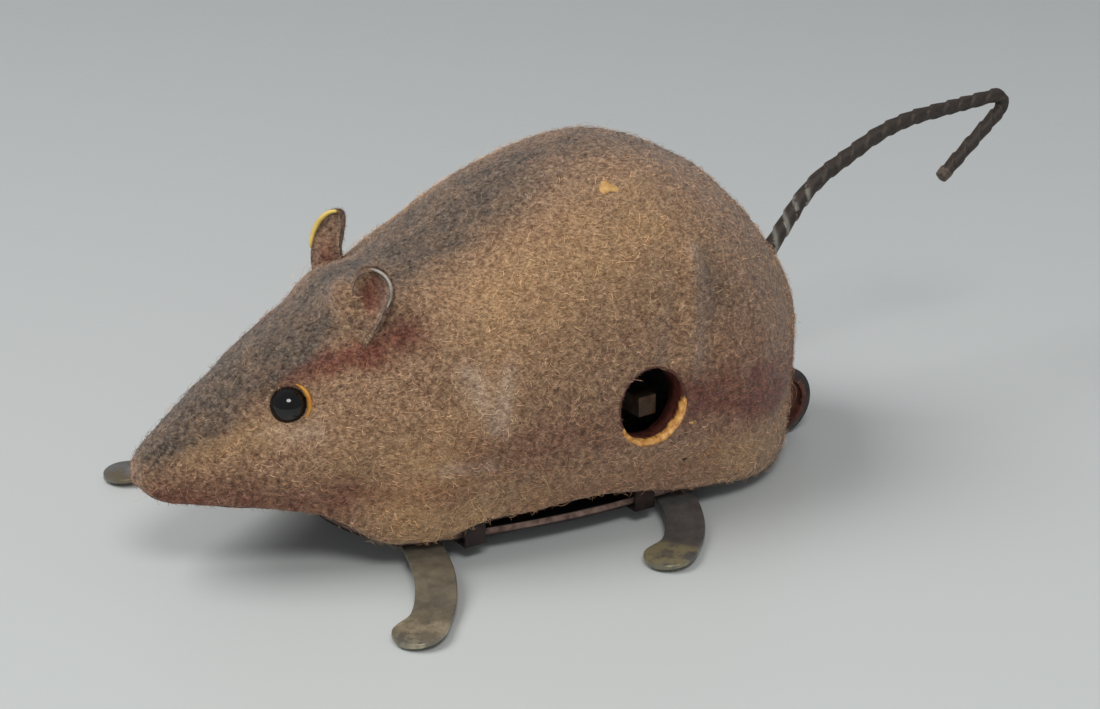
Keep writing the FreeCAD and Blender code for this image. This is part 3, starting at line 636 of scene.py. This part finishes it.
def snap_openings(grid):
    """Pulls the grid's points to the rims of the openings, and marks what lies inside them."""
    points = grid.reshape(-1, 3).copy()
    inside = np.zeros(len(points), bool)
    centre = np.array(KEYHOLE)
    offset = points[:, [0, 2]] - centre
    gap = np.linalg.norm(offset, axis=1)
    hole = (gap < KEYHOLE_R) & (points[:, 1] < LEFT_FLANK_Y)
    points[np.ix_(hole, [0, 2])] = centre + offset[hole] / gap[hole][:, None] * KEYHOLE_R
    inside |= hole
    for side in (-1, 1):
        middle = np.array([EYE[0], side * EYE[1], EYE[2]])
        offset = points - middle
        gap = np.linalg.norm(offset, axis=1)
        socket = gap < SOCKET_R
        points[socket] = middle + offset[socket] / gap[socket][:, None] * SOCKET_R
        inside |= socket
    front, inner, outer, top = WHEEL_SLOT
    y = np.abs(points[:, 1])
    slot = (points[:, 0] > front) & (y > inner) & (y < outer) & (points[:, 2] < top)
    nearest = np.argmin(np.stack([y - inner, outer - y, top - points[:, 2]]), axis=0)
    for number, edge in enumerate((inner, outer)):
        beside = slot & (nearest == number)
        points[beside, 1] = np.sign(points[beside, 1]) * edge
    points[slot & (nearest == 2), 2] = top
    return points, inside | slot


def turn_in_rims(piece, depth):
    """Gives the sheet a thickness at every open edge."""
    work = bmesh.new()
    work.from_mesh(piece.data)
    bmesh.ops.remove_doubles(work, verts=work.verts, dist=1e-7)
    bmesh.ops.recalc_face_normals(work, faces=work.faces)
    work.normal_update()
    middle = Vector(np.mean([v.co for v in work.verts], axis=0))
    if sum((v.co - middle).dot(v.normal) for v in work.verts) < 0:
        bmesh.ops.reverse_faces(work, faces=work.faces)
        work.normal_update()
    rims = [e for e in work.edges if e.is_boundary]
    normals = {v: v.normal.copy() for e in rims for v in e.verts}
    for _ in range(RIM_SMOOTHING):
        total = {v: n.copy() for v, n in normals.items()}
        for edge in rims:
            first, second = edge.verts
            total[first] += normals[second]
            total[second] += normals[first]
        normals = {v: n.normalized() for v, n in total.items()}
    made = bmesh.ops.extrude_edge_only(work, edges=rims)
    fresh = [g for g in made["geom"] if isinstance(g, bmesh.types.BMVert)]
    old = {tuple(round(c, 9) for c in v.co): n for v, n in normals.items()}
    for vert in fresh:
        vert.co -= old[tuple(round(c, 9) for c in vert.co)] * depth
    work.to_mesh(piece.data)
    work.free()


def flock_skin(material):
    """The close nap over the whole body, with its real openings."""
    grid = body_grid()
    normals = grid_normals(grid)
    grid = grid + normals * body_relief(grid)[..., None]
    points, inside = snap_openings(grid)
    faces = grid_faces(*grid.shape[:2])
    faces = faces[~inside[faces].all(axis=1)]
    piece = make_piece("flock_nap", points, faces, material)
    turn_in_rims(piece, FLOCK * MM)
    count = len(piece.data.vertices)
    co = np.zeros(count * 3)
    piece.data.vertices.foreach_get("co", co)
    drawn = co.reshape(-1, 3) / MM - [DRAWN_TO_ROW, 0, 0]
    paint(piece, "zones", coat_zones(drawn))
    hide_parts("flock_covering")
    return points, faces


def scatter(points, faces, count):
    """Random places on the skin, with the outward normal there."""
    corners = points[faces]
    cross = np.cross(corners[:, 2] - corners[:, 0], corners[:, 3] - corners[:, 1])
    area = np.linalg.norm(cross, axis=1)
    chosen = rng.choice(len(faces), count, p=area / area.sum())
    s, t = rng.random((2, count, 1))
    c = corners[chosen]
    place_at = (c[:, 0] * (1 - s) + c[:, 1] * s) * (1 - t) + (c[:, 3] * (1 - s) + c[:, 2] * s) * t
    normal = cross[chosen] / np.maximum(area[chosen], 1e-12)[:, None]
    outward = place_at - np.array(INSIDE)
    flip = np.sign((normal * outward).sum(1))[:, None]
    return place_at, normal * np.where(flip == 0, 1, flip)


def scatter_on_grids(grids, count):
    """Random places on grids of points, with the normals and tints there."""
    places = []
    for points, normals, tints in grids:
        rows, columns = points.shape[:2]
        i = rng.integers(0, rows - 1, count)
        j = rng.integers(0, columns - 1, count)
        s, t = rng.random((2, count, 1))
        near = points[i, j] * (1 - t) + points[i, j + 1] * t
        far = points[i + 1, j] * (1 - t) + points[i + 1, j + 1] * t
        places.append((near * (1 - s) + far * s, normals[i, j], tints[i, j]))
    return [np.concatenate(parts) for parts in zip(*places)]


def fibres(name, roots, normals, material, length, lean, thick, tone, segments=1, warm=0.0, zones=None):
    """Closed tapering fibres: three-sided, leaning over, curved if they have more segments.

    length, lean, thick and tone are the limits between which each fibre has its own.
    """
    count = len(roots)
    lengths = rng.uniform(*length, count)
    lean = rng.uniform(*lean, count)
    thick = rng.uniform(*thick, count)
    colours = fibre_tones(count, *tone, warm)
    lie = rng.normal(size=(count, 3)) + [0.6, 0, -0.25]
    lie -= normals * (lie * normals).sum(1, keepdims=True)
    lie = unit(lie)
    side = np.cross(normals, lie)
    rings = []
    for step in range(segments):
        share = step / segments
        along = circle(normals, lie, lean * (0.6 + 0.7 * share))
        centre = roots + along * (lengths * share)[:, None] - normals * 0.05 * (step == 0)
        width = thick * (1 - 0.75 * share)
        for angle in round_steps(3):
            rings.append(centre + (side * math.cos(angle) + normals * math.sin(angle)) * width[:, None])
    tip = roots + circle(normals, lie, lean * 1.3) * lengths[:, None]
    points = np.stack(rings + [tip], 1)
    piece = make_piece(name, points, fibre_faces(count, segments), material)
    zones = coat_zones(roots) if zones is None else zones
    for layer, values in (("zones", zones), ("tone", colours)):
        paint(piece, layer, np.repeat(values, points.shape[1], axis=0))


def fibre_faces(count, segments):
    """The faces of closed three-sided fibres: a foot, the sides of each segment, and a tip."""
    shape = [(0, 2, 1)]
    last = 3 * (segments - 1)
    for low in range(0, last, 3):
        for corner in range(3):
            ahead = (corner + 1) % 3
            shape.append((low + corner, low + ahead, low + 3 + ahead, low + 3 + corner))
    shape += [(last + corner, last + (corner + 1) % 3, last + 3) for corner in range(3)]
    stride = last + 4
    return [tuple(start + k for k in face) for start in range(0, count * stride, stride) for face in shape]


def fibre_tones(count, low, high, warm):
    """One multiplying colour per fibre."""
    level = rng.uniform(low, high, count)
    tint = rng.normal(0, 0.05, (count, 3)) + np.array([warm, warm * 0.4, -warm])
    return np.concatenate([level[:, None] * (1 + tint), np.ones((count, 1))], 1)


def flock_fibres(points, faces, material):
    """Short fibres all over, fewer longer pale ones that catch the light, and some stray hairs."""
    fibres(
        "flock_fibres", *scatter(points, faces, SHORT_FIBRES), material,
        length=(0.40, 0.95), lean=(0.95, 1.4), thick=(0.022, 0.036), tone=(0.35, 1.60),
    )
    fibres(
        "flock_long_fibres", *scatter(points, faces, LONG_FIBRES), material,
        length=(0.6, 1.3), lean=(0.9, 1.35), thick=(0.018, 0.028), tone=(1.3, 2.5), segments=3, warm=-0.02,
    )
    fibres(
        "stray_hairs", *scatter(points, faces, STRAY_HAIRS), material,
        length=(1.8, 3.6), lean=(1.05, 1.3), thick=(0.014, 0.022), tone=(1.7, 2.6), segments=7,
    )


# --- ears --------------------------------------------------------------------------------------
EAR_HALF_T = 0.30          # tin and flock, from the middle of the ear to either face
RIM_FORWARD = 0.28         # how far the bare rim stands in front of that middle
LEFT_EAR = {
    "root": (-22.6, -7.4, 22.2), "top": (-19.9, -6.1, 29.7), "facing": (-0.80, -0.58, 0.25),
    "outline": [(0, -0.3, 0.5), (0.2, -1.1, 1.3), (0.45, -1.5, 2.1), (0.70, -1.8, 2.55)],
    "crown": (2.2, 2.2),
    "cup": {"height": 0.70, "depth": 1.0, "roll": 0.35},
}
RIGHT_EAR = {
    "root": (-18.6, 5.9, 23.3), "top": (-16.0, 7.9, 30.9), "facing": (-0.70, -0.65, 0.20),
    "outline": [(0, -1.6, 2.6), (0.2, -1.7, 2.0), (0.4, -2.05, 1.3), (0.58, -2.2, 0.85)],
    "crown": (2.0, 4.0),
    "cup": {"height": 0.45, "depth": -0.9, "roll": 0.25},
}


def over_the_top(rows, columns):
    """The numbers of a grid's points up its first side, along its last row and down its other side."""
    path = [i * columns for i in range(rows)]
    path += [(rows - 1) * columns + j for j in range(1, columns)]
    return path + [i * columns + columns - 1 for i in range(rows - 2, -1, -1)]


def slab(front, back, material, name):
    """A closed thin piece from two matching grids of points joined round their edges."""
    rows, columns = front.shape[:2]
    faces = quad_list(rows, columns)
    offset = rows * columns
    faces += [tuple(offset + k for k in reversed(face)) for face in quad_list(rows, columns)]
    ring = over_the_top(rows, columns) + list(range(columns - 2, 0, -1))
    for here, there in zip(ring, ring[1:] + ring[:1]):
        faces.append((there, here, offset + here, offset + there))
    return make_piece(name, np.concatenate([front.reshape(-1, 3), back.reshape(-1, 3)]), faces, material)


def ear_grid(root, top, facing, outline, crown, cup, rows=46, columns=37):
    """A cupped leaf: outline gives (share of the height, reach to the left, reach to the right).

    Above its last row, each side closes to the top as a superellipse of the power in crown.
    """
    root, top = np.array(root, float), np.array(top, float)
    length = np.linalg.norm(top - root)
    up = (top - root) / length
    facing = np.array(facing, float)
    facing = unit(facing - up * (facing @ up))
    side = np.cross(up, facing)
    outline = np.array(outline, float)
    widest = outline[-1, 0]
    share = np.sin(np.linspace(0, math.pi / 2, rows))
    flank = hermite(outline[:, 0], outline[:, 1:], np.minimum(share, widest))
    over = np.clip((share - widest) / (1 - widest), 0, 1)[:, None]
    flank *= np.maximum((1 - over ** crown) ** (1 / np.array(crown)), 0.02)
    left, right = flank.T[:, :, None]
    u = share[:, None]
    v = np.linspace(-1, 1, columns)[None, :]
    reach = (left + right) / 2 + (right - left) / 2 * v
    hollow = cup["depth"] * np.exp(-((u - cup["height"]) / 0.24) ** 2 - (v / 0.75) ** 2)
    rolled = cup["roll"] * v ** 4 * smoothstep(u, 0.1, 0.6)
    points = root + up * (u * length)[..., None] + side * reach[..., None]
    points += facing * (rolled - hollow)[..., None]
    return points, facing, u + 0 * v, v + 0 * u


def ear(name, node, shape, hollow_shade, bare, rim_r, material, fibre, rim):
    """An ear as pressed tin flocked on both faces, with shade painted in its hollow and on its back, its
    rim rubbed bare along part of its edge.
    """
    points, facing, u, v = ear_grid(**shape)
    normal = unit(np.cross(np.gradient(points, axis=1), np.gradient(points, axis=0)))
    normal *= np.sign(normal.mean((0, 1)) @ facing)
    thick = EAR_HALF_T + 0.06 * fractal(points, 1.1, 2)[..., None]
    front, back = points + normal * thick, points - normal * thick
    piece = slab(front, back, material, name)
    cup = np.exp(-((u - shape["cup"]["height"]) / 0.22) ** 2 - (v / 0.6) ** 2)
    zones = np.zeros((*u.shape, 4))
    # painted shade: the red zone darkens the ear's hollow
    zones[..., 1] = np.clip(2.2 * hollow_shade * cup, 0, 1)
    zones[..., 0] = 0.5 * (1 - zones[..., 1])
    behind = zones.copy()
    # painted shade: the back of the ear takes the red zone all over
    behind[..., 1] = 0.75
    paint(piece, "zones", np.concatenate([zones.reshape(-1, 4), behind.reshape(-1, 4)]))
    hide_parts(node)
    outline = points.reshape(-1, 3)[over_the_top(*points.shape[:2])] + facing * RIM_FORWARD
    start, end = [int(share * len(outline)) for share in bare]

    def swell(along):
        return rim_r * (0.4 + 0.6 * np.sin(np.clip(along / along[-1], 0, 1) * math.pi) ** 0.5)

    tube(name + "_rim", outline[start:end], swell, rim)
    faces_out = [(front, normal, zones), (back, -normal, behind)]
    roots, normals, tints = scatter_on_grids(faces_out, EAR_FIBRES)
    fibres(
        name + "_fibres", roots, normals, fibre,
        length=(0.35, 0.8), lean=(1.0, 1.45), thick=(0.02, 0.034), tone=(0.4, 1.5), zones=tints,
    )


def tube(name, path, radius, material, around=10):
    """A closed round bead along a path, with domed ends; radius is a function of the length along it."""
    step = np.linalg.norm(np.diff(path, axis=0), axis=1)
    keep = np.concatenate([[True], step > 1e-4])
    path = path[keep]
    length = length_along(path)
    tangent = unit(np.gradient(path, axis=0))
    across = np.cross(tangent[0], [0.31, 0.17, 0.93])
    rings = []
    size = radius(length) * np.ones(len(path))
    for i, here in enumerate(path):
        across = unit(across - tangent[i] * (across @ tangent[i]))
        ring = circle(across, np.cross(tangent[i], across), round_steps(around))
        rings.append(here + ring * size[i])
    rows, tips = domed(rings, path, tangent, 0.7, size * 0.7, size)
    return make_piece(name, *closed_shape(rows, tips), material)


# --- eyes and keyhole --------------------------------------------------------------------------
def lathe(name, profile, centre, axis, material, around=56):
    """A turned shape: (distance along the axis, radius) pairs, the first and last at radius 0."""
    across = unit(np.cross(axis, [0.2, 0.3, 0.93]))
    ring = circle(across, np.cross(axis, across), round_steps(around))
    middle = [centre + axis * h + ring * r for h, r in profile[1:-1]]
    tips = [centre + axis * profile[0][0], centre + axis * profile[-1][0]]
    return make_piece(name, *closed_shape(middle, tips), material)


def crescent(along):
    """The radius of the amber thread: thin at both ends."""
    return 0.05 + 0.25 * np.sin(along / along[-1] * math.pi)


def eyes(glass, amber):
    """Round glass beads, each with a thread of bare yellow lacquer round the back of its socket."""
    for side, label in ((-1, "left"), (1, "right")):
        axis = unit(np.array([-0.42, side * 0.78, 0.46]))
        centre = np.array([EYE[0], side * EYE[1], EYE[2]]) - axis * EYE_SUNK[label]
        angles = np.linspace(0, math.pi, 33)
        profile = [(EYE_R * math.cos(a), EYE_R * math.sin(a)) for a in reversed(angles)]
        bead = lathe("eye_" + label, profile, centre, axis, glass)
        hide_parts("eye_bead_" + label)
        rear = np.array([1.0, side * 0.3, 0.1])
        rear = unit(rear - axis * (rear @ axis))
        ring = circle(rear, np.cross(axis, rear), np.linspace(-1.1, 1.0, 40))
        path = centre + ring * AMBER_R + axis * AMBER_FORWARD
        tube("eye_rim_" + label, path, crescent, amber)


def flank_y(x, z):
    """How far out the skin stands at a place on the left flank."""
    rows = hoop_curve()
    half, edge, wide, top = [np.interp(x, rows[:, 0], column) for column in rows.T[1:]]
    if z > wide:
        return -half * math.sqrt(max(0.0, 1 - ((z - wide) / (top - wide)) ** 2))
    low = edge + EDGE_TURN_R
    bulge = math.sin((z - low) / (wide - low) * math.pi / 2)
    return -half * (EDGE_TUCK + (1 - EDGE_TUCK) * bulge)


def keyhole_rim(material):
    """The turned-in edge round the winding hole, where the key has rubbed the flock away."""
    rings = []
    wear = []
    for angle in np.linspace(0, 2 * math.pi, 97)[:-1]:
        out = np.array([math.cos(angle), 0, math.sin(angle)])
        x, z = KEYHOLE[0] + KEYHOLE_R * out[0], KEYHOLE[1] + KEYHOLE_R * out[2]
        face = flank_y(x, z)
        face -= body_relief(np.array([x, face, z]))
        rub = smoothstep(math.cos(angle + 1.35), -0.3, 0.6)
        wide = 0.08 + 0.28 * rub + 0.04 * math.sin(9 * angle)
        # how far outside the hole's edge, how deep under the skin, and how worn
        section = [(-0.30, 2.4, 0.0), (-0.28, 1.3, 0.15), (-0.25, 0.5, 0.75), (-0.13, -0.04, 1.0)]
        section.append((0.5 * wide, -0.11, 1.0))
        section += [(wide, 0.05, 0.8), (wide, 0.5, 0.0), (0.1, 1.2, 0.0), (-0.14, 2.4, 0.0)]
        rings.append([(x + out[0] * r, face + depth, z + out[2] * r) for r, depth, _ in section])
        wear.append([(rub * lip, 0, 0, 1) for _, _, lip in section])
    points = np.array(rings).transpose(1, 0, 2)
    around = points.shape[1]
    faces = quad_list(points.shape[0], around, closed=True)
    last = (points.shape[0] - 1) * around
    faces += [(last + k, last + (k + 1) % around, (k + 1) % around, k) for k in range(around)]
    piece = make_piece("keyhole_rim", points, faces, material)
    paint(piece, "wear", np.array(wear).transpose(1, 0, 2))


def bare_spots(spots):
    """Small chips in the flock, and one near-black disc painted as the shade in a pit: (x, z, size,
    material) on the left flank.
    """
    rings, steps = 5, 14
    for index, (x, z, size, material) in enumerate(spots):
        grid = []
        for ring in range(rings):
            reach = size * ring / (rings - 1)
            for step in range(steps):
                angle = 2 * math.pi * step / steps
                wobble = 1 + 0.25 * math.sin(3 * angle + index) + 0.15 * math.sin(5 * angle)
                px, pz = x + reach * wobble * math.cos(angle), z + 0.4 * reach * wobble * math.sin(angle)
                lift = 0.22 * (1 - (ring / (rings - 1)) ** 2) - 0.05
                grid.append((px, flank_y(px, pz) - lift, pz))
        grid = np.array(grid)
        grid[:, 1] -= body_relief(grid)
        faces = quad_list(rings, steps, closed=True)
        make_piece(f"bare_spot_{index + 1}", grid, faces, material)


# --- tail --------------------------------------------------------------------------------------
TAIL_CORNERS = [(31.4, 15.9), (39.7, 25.9), (51.5, 31.1), (70.7, 32.0), (59.4, 23.2)]
TAIL_BENDS = [14.0, 24.0, 1.15]
TAIL_R = 0.85
TAPE_PITCH = 4.6           # two strips of tape side by side, so a lap every half turn


def tail_path(spacing=0.14):
    """The wire's middle line: straight runs joined by arcs."""
    corners = [np.array([x, 0.0, z]) for x, z in TAIL_CORNERS]
    points = [corners[0]]
    for before, corner, after, radius in zip(corners, corners[1:], corners[2:], TAIL_BENDS):
        back = unit(before - corner)
        ahead = unit(after - corner)
        half = math.acos(float(np.clip(back @ ahead, -1, 1))) / 2
        centre = corner + unit(back + ahead) * radius / math.sin(half)
        start = corner + back * radius / math.tan(half) - centre
        end = corner + ahead * radius / math.tan(half) - centre
        sweep = math.acos(float(np.clip(start @ end / radius ** 2, -1, 1)))
        for share in np.linspace(0, 1, 24):
            mix = (start * math.sin((1 - share) * sweep) + end * math.sin(share * sweep)) / math.sin(sweep)
            points.append(centre + mix)
    points.append(corners[-1])
    points = np.array(points)
    length = length_along(points)
    at = np.linspace(0, length[-1], int(length[-1] / spacing))
    return np.stack([np.interp(at, length, points[:, k]) for k in range(3)], 1), at


def tail(material):
    """Wire wound in a narrow tape: each turn laps the one before, ending in a cut stub."""
    path, at = tail_path()
    tangent = unit(np.gradient(path, axis=0))
    across = np.array([0.0, 1.0, 0.0])
    other = np.cross(tangent, across)
    around = 28
    angle = round_steps(around)
    ring = circle(across, other[:, None, :], angle)
    turns = at[:, None] / TAPE_PITCH + angle[None, :] / (2 * math.pi) + 0.05 * np.sin(at[:, None] * 0.7)
    phase = (2 * turns) % 1.0
    lap = 0.19 * (1 - phase) * smoothstep(phase, 0.0, 0.13) - 0.08 * (1 - smoothstep(phase, 0.0, 0.16))
    taper = 0.14 * (1 - smoothstep(at, 0, 50))[:, None]
    size = TAIL_R - 0.17 + lap + taper + 0.03 * fractal(path[:, None, :] + ring * 2, 0.9, 2)
    rings = path[:, None, :] + ring * size[..., None]
    rows, tips = domed(rings, path, tangent, 0.86, [0.10, 0.10], [0.12, 0.12])
    piece = make_piece("tail_tape", *closed_shape(rows, tips), material)
    edge = 0.35 * np.exp(-((phase - 0.16) / 0.08) ** 2)
    bare = np.exp(-(phase / 0.20) ** 2) * (1 - smoothstep(at, 9, 15))[:, None]
    wound = np.stack([edge, bare, 0 * edge, 0 * edge + 1], -1)
    wound[-8:, :, 0] = 1.0
    wound = np.concatenate([wound[:1], wound, wound[-1:]]).reshape(-1, 4)
    paint(piece, "winding", np.concatenate([wound, [[0.5, 0, 0, 1]] * 2]))
    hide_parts("tail_wrapping")


# --- feet --------------------------------------------------------------------------------------
FOOT_W = 4.1
FOOT_T = 0.5
FOOT_CORNER_R = 0.16
PAD_R = 2.5
PAD_Z = 0.35
PAD_DISH = 0.16            # how far the pad's edge turns up
FOOT_ROOT_Z = 1.5
PLATE_EDGE_Y = 17.2
# root, bend and pad seen from above, then the light, dark and rubbed tones of the tin
FEET = {
    "front_leg_left": (
        [(-17.4, -6.5), (-20.0, -21.6), (-27.2, -25.6)],
        [(152, 144, 124), (118, 113, 101), (190, 180, 152)],
    ),
    "front_leg_right": (
        [(-17.4, 6.5), (-24.6, 20.2), (-34.6, 22.8)],
        [(134, 134, 132), (108, 108, 107), (124, 112, 92)],
    ),
    "rear_leg_left": (
        [(10.2, -10.5), (9.6, -22.4), (1.9, -25.6)],
        [(114, 112, 109), (92, 90, 88), (156, 148, 116)],
    ),
    "rear_leg_right": (
        [(10.2, 10.5), (9.6, 22.4), (1.9, 25.6)],
        [(114, 110, 106), (88, 86, 85), (144, 122, 80)],
    ),
}


def foot_line(a, b, c):
    """The arm's curve and a straight end over the pad, the headings, and the number of the arm's points."""
    t = np.concatenate([np.linspace(0, 0.78, 50), np.linspace(0.785, 1, 40)])[:, None]
    line = (1 - t) ** 2 * a + 2 * t * (1 - t) * b + t ** 2 * c
    heading = unit(np.gradient(line, axis=0))
    tip = np.linspace(0, 1, 26)[1:, None]
    line = np.concatenate([line, line[-1] + heading[-1] * PAD_R * np.sin(tip * math.pi / 2)])
    return line, np.concatenate([heading, np.repeat(heading[-1:], len(tip), 0)]), len(t)


def foot_width(from_root, from_pad, arm):
    """Half the width at each point: a rounded root, the arm, and a round pad."""
    pad = np.sqrt(np.clip(PAD_R ** 2 - from_pad ** 2, 0, None))
    near = smoothstep(from_pad, 0.2, 3.6)
    width = np.maximum(pad, FOOT_W / 2 * near + PAD_R * (1 - near))
    width = np.minimum(width, np.sqrt(np.clip(from_root * FOOT_W, 0.001, None)))
    return np.where(np.arange(len(pad)) < arm, width, np.maximum(pad, 0.02))


def foot_section():
    """A rounded rectangle: the side and the face nearest each point, and its place on the corner."""
    section = []
    for corner, signs in enumerate([(-1, -1), (1, -1), (1, 1), (-1, 1)]):
        for k in range(4):
            angle = math.pi / 2 * (k / 3) + (corner + 2) * math.pi / 2
            section.append((*signs, math.cos(angle), math.sin(angle)))
    return np.array(section).T


def foot(node, plan, tin):
    """A pressed tin foot: a flat arm under the plate, sloping down to a round pad."""
    a, b, c = [np.array(p) for p in plan]
    line, heading, arm = foot_line(a, b, c)
    from_pad = np.linalg.norm(line - c, axis=1)
    width = foot_width(np.linalg.norm(line - a, axis=1), from_pad, arm)[:, None]
    drop = smoothstep(np.abs(line[:, 1]), PLATE_EDGE_Y, abs(c[1]) - PAD_R + 0.4)[:, None]
    low = FOOT_ROOT_Z + (PAD_Z - FOOT_ROOT_Z) * drop
    side, face, over, up = foot_section()
    inset = np.minimum(FOOT_CORNER_R, width * 0.5)
    y = side * (width - inset) + over * inset
    dish = PAD_DISH * drop * (np.abs(y) / PAD_R) ** 2
    z = low + FOOT_T / 2 + face * (FOOT_T / 2 - inset) + up * inset + dish
    across = np.stack([-heading[:, 1], heading[:, 0]], 1)
    points = np.concatenate([line[:, None] + across[:, None] * y[..., None], z[..., None]], -1)
    rows, around = z.shape
    faces = quad_list(rows, around, closed=True)
    faces += [tuple(reversed(range(around))), tuple(range((rows - 1) * around, rows * around))]
    material = tarnished_tin("tin_" + node.replace("leg_", ""), *tin)
    piece = make_piece(node + "_tin", points, faces, material)
    piece.data.polygons[-1].use_smooth = False
    on_pad = (1 - smoothstep(from_pad, PAD_R * 0.7, PAD_R * 1.3))[:, None, None] * np.ones(4)
    paint(piece, "pad", np.repeat(on_pad, around, axis=1))
    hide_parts(node)


# --- finishes of the CAD nodes, and the room ---------------------------------------------------
def finish_cad_nodes(finishes):
    """The carried-over mechanism takes a worn finish by its material slot."""
    for subpart in frame["record"]["subparts"]:
        material = finishes.get(subpart["material_slot"])
        if material:
            mesh = frame["nodes"][subpart["node"]].data
            mesh.materials.clear()
            mesh.materials.append(material)


def tarnished_tin(name, light, dark, patch):
    """Dull tin, with a rubbed patch on the pad."""
    return metal_material(
        name, light, dark, patch,
        scale=520, metallic=0.65, rough=(0.28, 0.52), stain_from=0.42, only_where="pad",
    )


VIEW_AHEAD = (0.555, 0.832, 0.0)     # the camera's direction along the table
TABLE_HALF = 1600.0
TABLE_Z = -0.02


def floor(steps=9):
    """A pale table top, painted darker towards the back as the light falls off."""
    material, tree, where = new_material("pale_table")
    depth = add(tree, "VectorMath", {0: where, 1: VIEW_AHEAD}, operation="DOT_PRODUCT")
    # painted shade: the table darkens with distance from the camera, as the light falls off
    falloff_shade = levels(tree, depth.outputs["Value"], -0.12, 0.45)
    colour = tones(tree, falloff_shade, 0.0, 1.0, (190, 193, 190), (147, 149, 152))
    finish(material, colour, grain(tree, where, 900, 3.0), (0.36, 0.42), (0.04, 0.0001))
    along = np.linspace(-TABLE_HALF, TABLE_HALF, steps)
    x, y = np.meshgrid(along, along)
    mesh = bpy.data.meshes.new("table_top")
    points = np.stack([x, y, 0 * x + TABLE_Z], -1).reshape(-1, 3) * MM
    mesh.from_pydata(points.tolist(), [], [tuple(map(int, f)) for f in grid_faces(steps, steps)])
    mesh.materials.append(material)
    new_object("table_top", mesh)


LIT_POINT = (0, 0, 0.01)
# place and size in metres, power, shape, whether polished parts mirror it
LIGHTS = {
    "window": ((-0.70, 0.45, 1.00), (0.8, 0.8), 13, "RECTANGLE", False),
    "lamp": ((-0.35, -0.75, 1.1), (0.6, 0.45), 8, "ELLIPSE", True),
    "fill": ((-0.75, -0.95, 0.30), (0.8, 0.5), 3, "RECTANGLE", False),
}


def soft_light(name, place_at, size, power, shape, mirrored):
    data = bpy.data.lights.new(name, "AREA")
    data.shape = shape
    data.size, data.size_y = size
    data.energy = power
    lamp = new_object(name, data)
    lamp.location = place_at
    lamp.rotation_euler = (Vector(LIT_POINT) - Vector(place_at)).to_track_quat("-Z", "Y").to_euler()
    lamp.visible_glossy = mirrored


def room_light():
    """Weak grey light from all round."""
    world = bpy.data.worlds.new("room")
    world.use_nodes = True
    background = world.node_tree.nodes["Background"]
    background.inputs["Color"].default_value = (0.80, 0.82, 0.86, 1)
    background.inputs["Strength"].default_value = 0.34
    bpy.context.scene.world = world


LENS = 81.8
CAMERA_AT = ((-132.18 + DRAWN_TO_ROW) * MM, -0.20534, 0.11292)
CAMERA_TILT = 68           # degrees up from straight down
CAMERA_TURN = -33.7


def camera():
    data = bpy.data.cameras.new("camera")
    data.lens = LENS
    data.sensor_width = 36
    data.clip_start = 0.01
    eye = new_object("camera", data)
    eye.location = CAMERA_AT
    eye.rotation_euler = Euler((math.radians(CAMERA_TILT), 0, math.radians(CAMERA_TURN)))
    bpy.context.scene.camera = eye


# --- building ----------------------------------------------------------------------------------
coat_skin = skin_material()
coat_fibre = fibre_material()
skin_points, skin_faces = flock_skin(coat_skin)
flock_fibres(skin_points, skin_faces, coat_fibre)
black_glass = glass_material()
amber_lacquer = lacquer_material("amber_lacquer", (206, 150, 58), (158, 98, 32), (90, 48, 28), 0.60)
# painted shade: a near-black disc where a small pit in the flock lies in shade
pit_shade = lacquer_material("pit_shade_dark", (52, 36, 30), (28, 20, 18), (90, 60, 44), 0.60)
silver_rim = metal_material("ear_bare_rim", (184, 176, 164), (108, 98, 86), (110, 84, 56), metallic=0.5)
yellow_rim = lacquer_material("ear_yellow_rim", (234, 210, 120), (204, 170, 88), (140, 96, 54), 0.64)
ear("ear_left_leaf", "ear_left", LEFT_EAR, 1.0, (0.44, 0.86), 0.17, coat_skin, coat_fibre, silver_rim)
ear("ear_right_leaf", "ear_right", RIGHT_EAR, 0.4, (0.13, 0.56), 0.27, coat_skin, coat_fibre, yellow_rim)
eyes(black_glass, amber_lacquer)
keyhole_rim(worn_lacquer_rim())
chip_yellow = lacquer_material("chip_yellow", (226, 186, 124), (192, 142, 80), (120, 80, 50), 0.62)
bare_spots([
    (9.9, 10.8, 0.50, chip_yellow),
    (8.0, 8.2, 0.28, silver_rim),
    (9.3, 6.7, 0.34, pit_shade),
    (6.0, 34.0, 1.10, chip_yellow),
])
tail(tape_material())
for leg, (leg_plan, leg_tin) in FEET.items():
    foot(leg, leg_plan, leg_tin)
brass = metal_material("motor_brass", (196, 152, 78), (140, 100, 48), (84, 58, 34))
frame_steel = metal_material("frame_steel_worn", (134, 130, 124), (84, 80, 76), (96, 66, 44))
bright_steel = metal_material("bright_steel", (168, 166, 162), (112, 108, 104), (96, 78, 60))
blue_spring = metal_material("blued_spring", (78, 82, 98), (42, 44, 58), (92, 66, 46))
finish_cad_nodes({
    "shell_tin": shell_material(),
    "wire_steel": bright_steel,
    "base_tin": plate_material(),
    "rivet_steel": bright_steel,
    "frame_steel": frame_steel,
    "arbor_steel": metal_material("arbor_old_steel", (104, 92, 80), (60, 50, 44), (84, 56, 38)),
    "hard_steel": frame_steel,
    "spring_steel": blue_spring,
    "gear_brass": brass,
    "wheel_paint": lacquer_material("wheel_red_brown", (106, 60, 46), (66, 38, 30), (136, 110, 90)),
    "tyre_rubber": rubber_material(),
    "front_wheel_metal": metal_material("front_wheel_tin", (150, 144, 134), (96, 92, 86), (98, 68, 46)),
})
floor()
for light, settings in LIGHTS.items():
    soft_light(light, *settings)
room_light()
camera()
bpy.context.scene.view_settings.view_transform = "Standard"
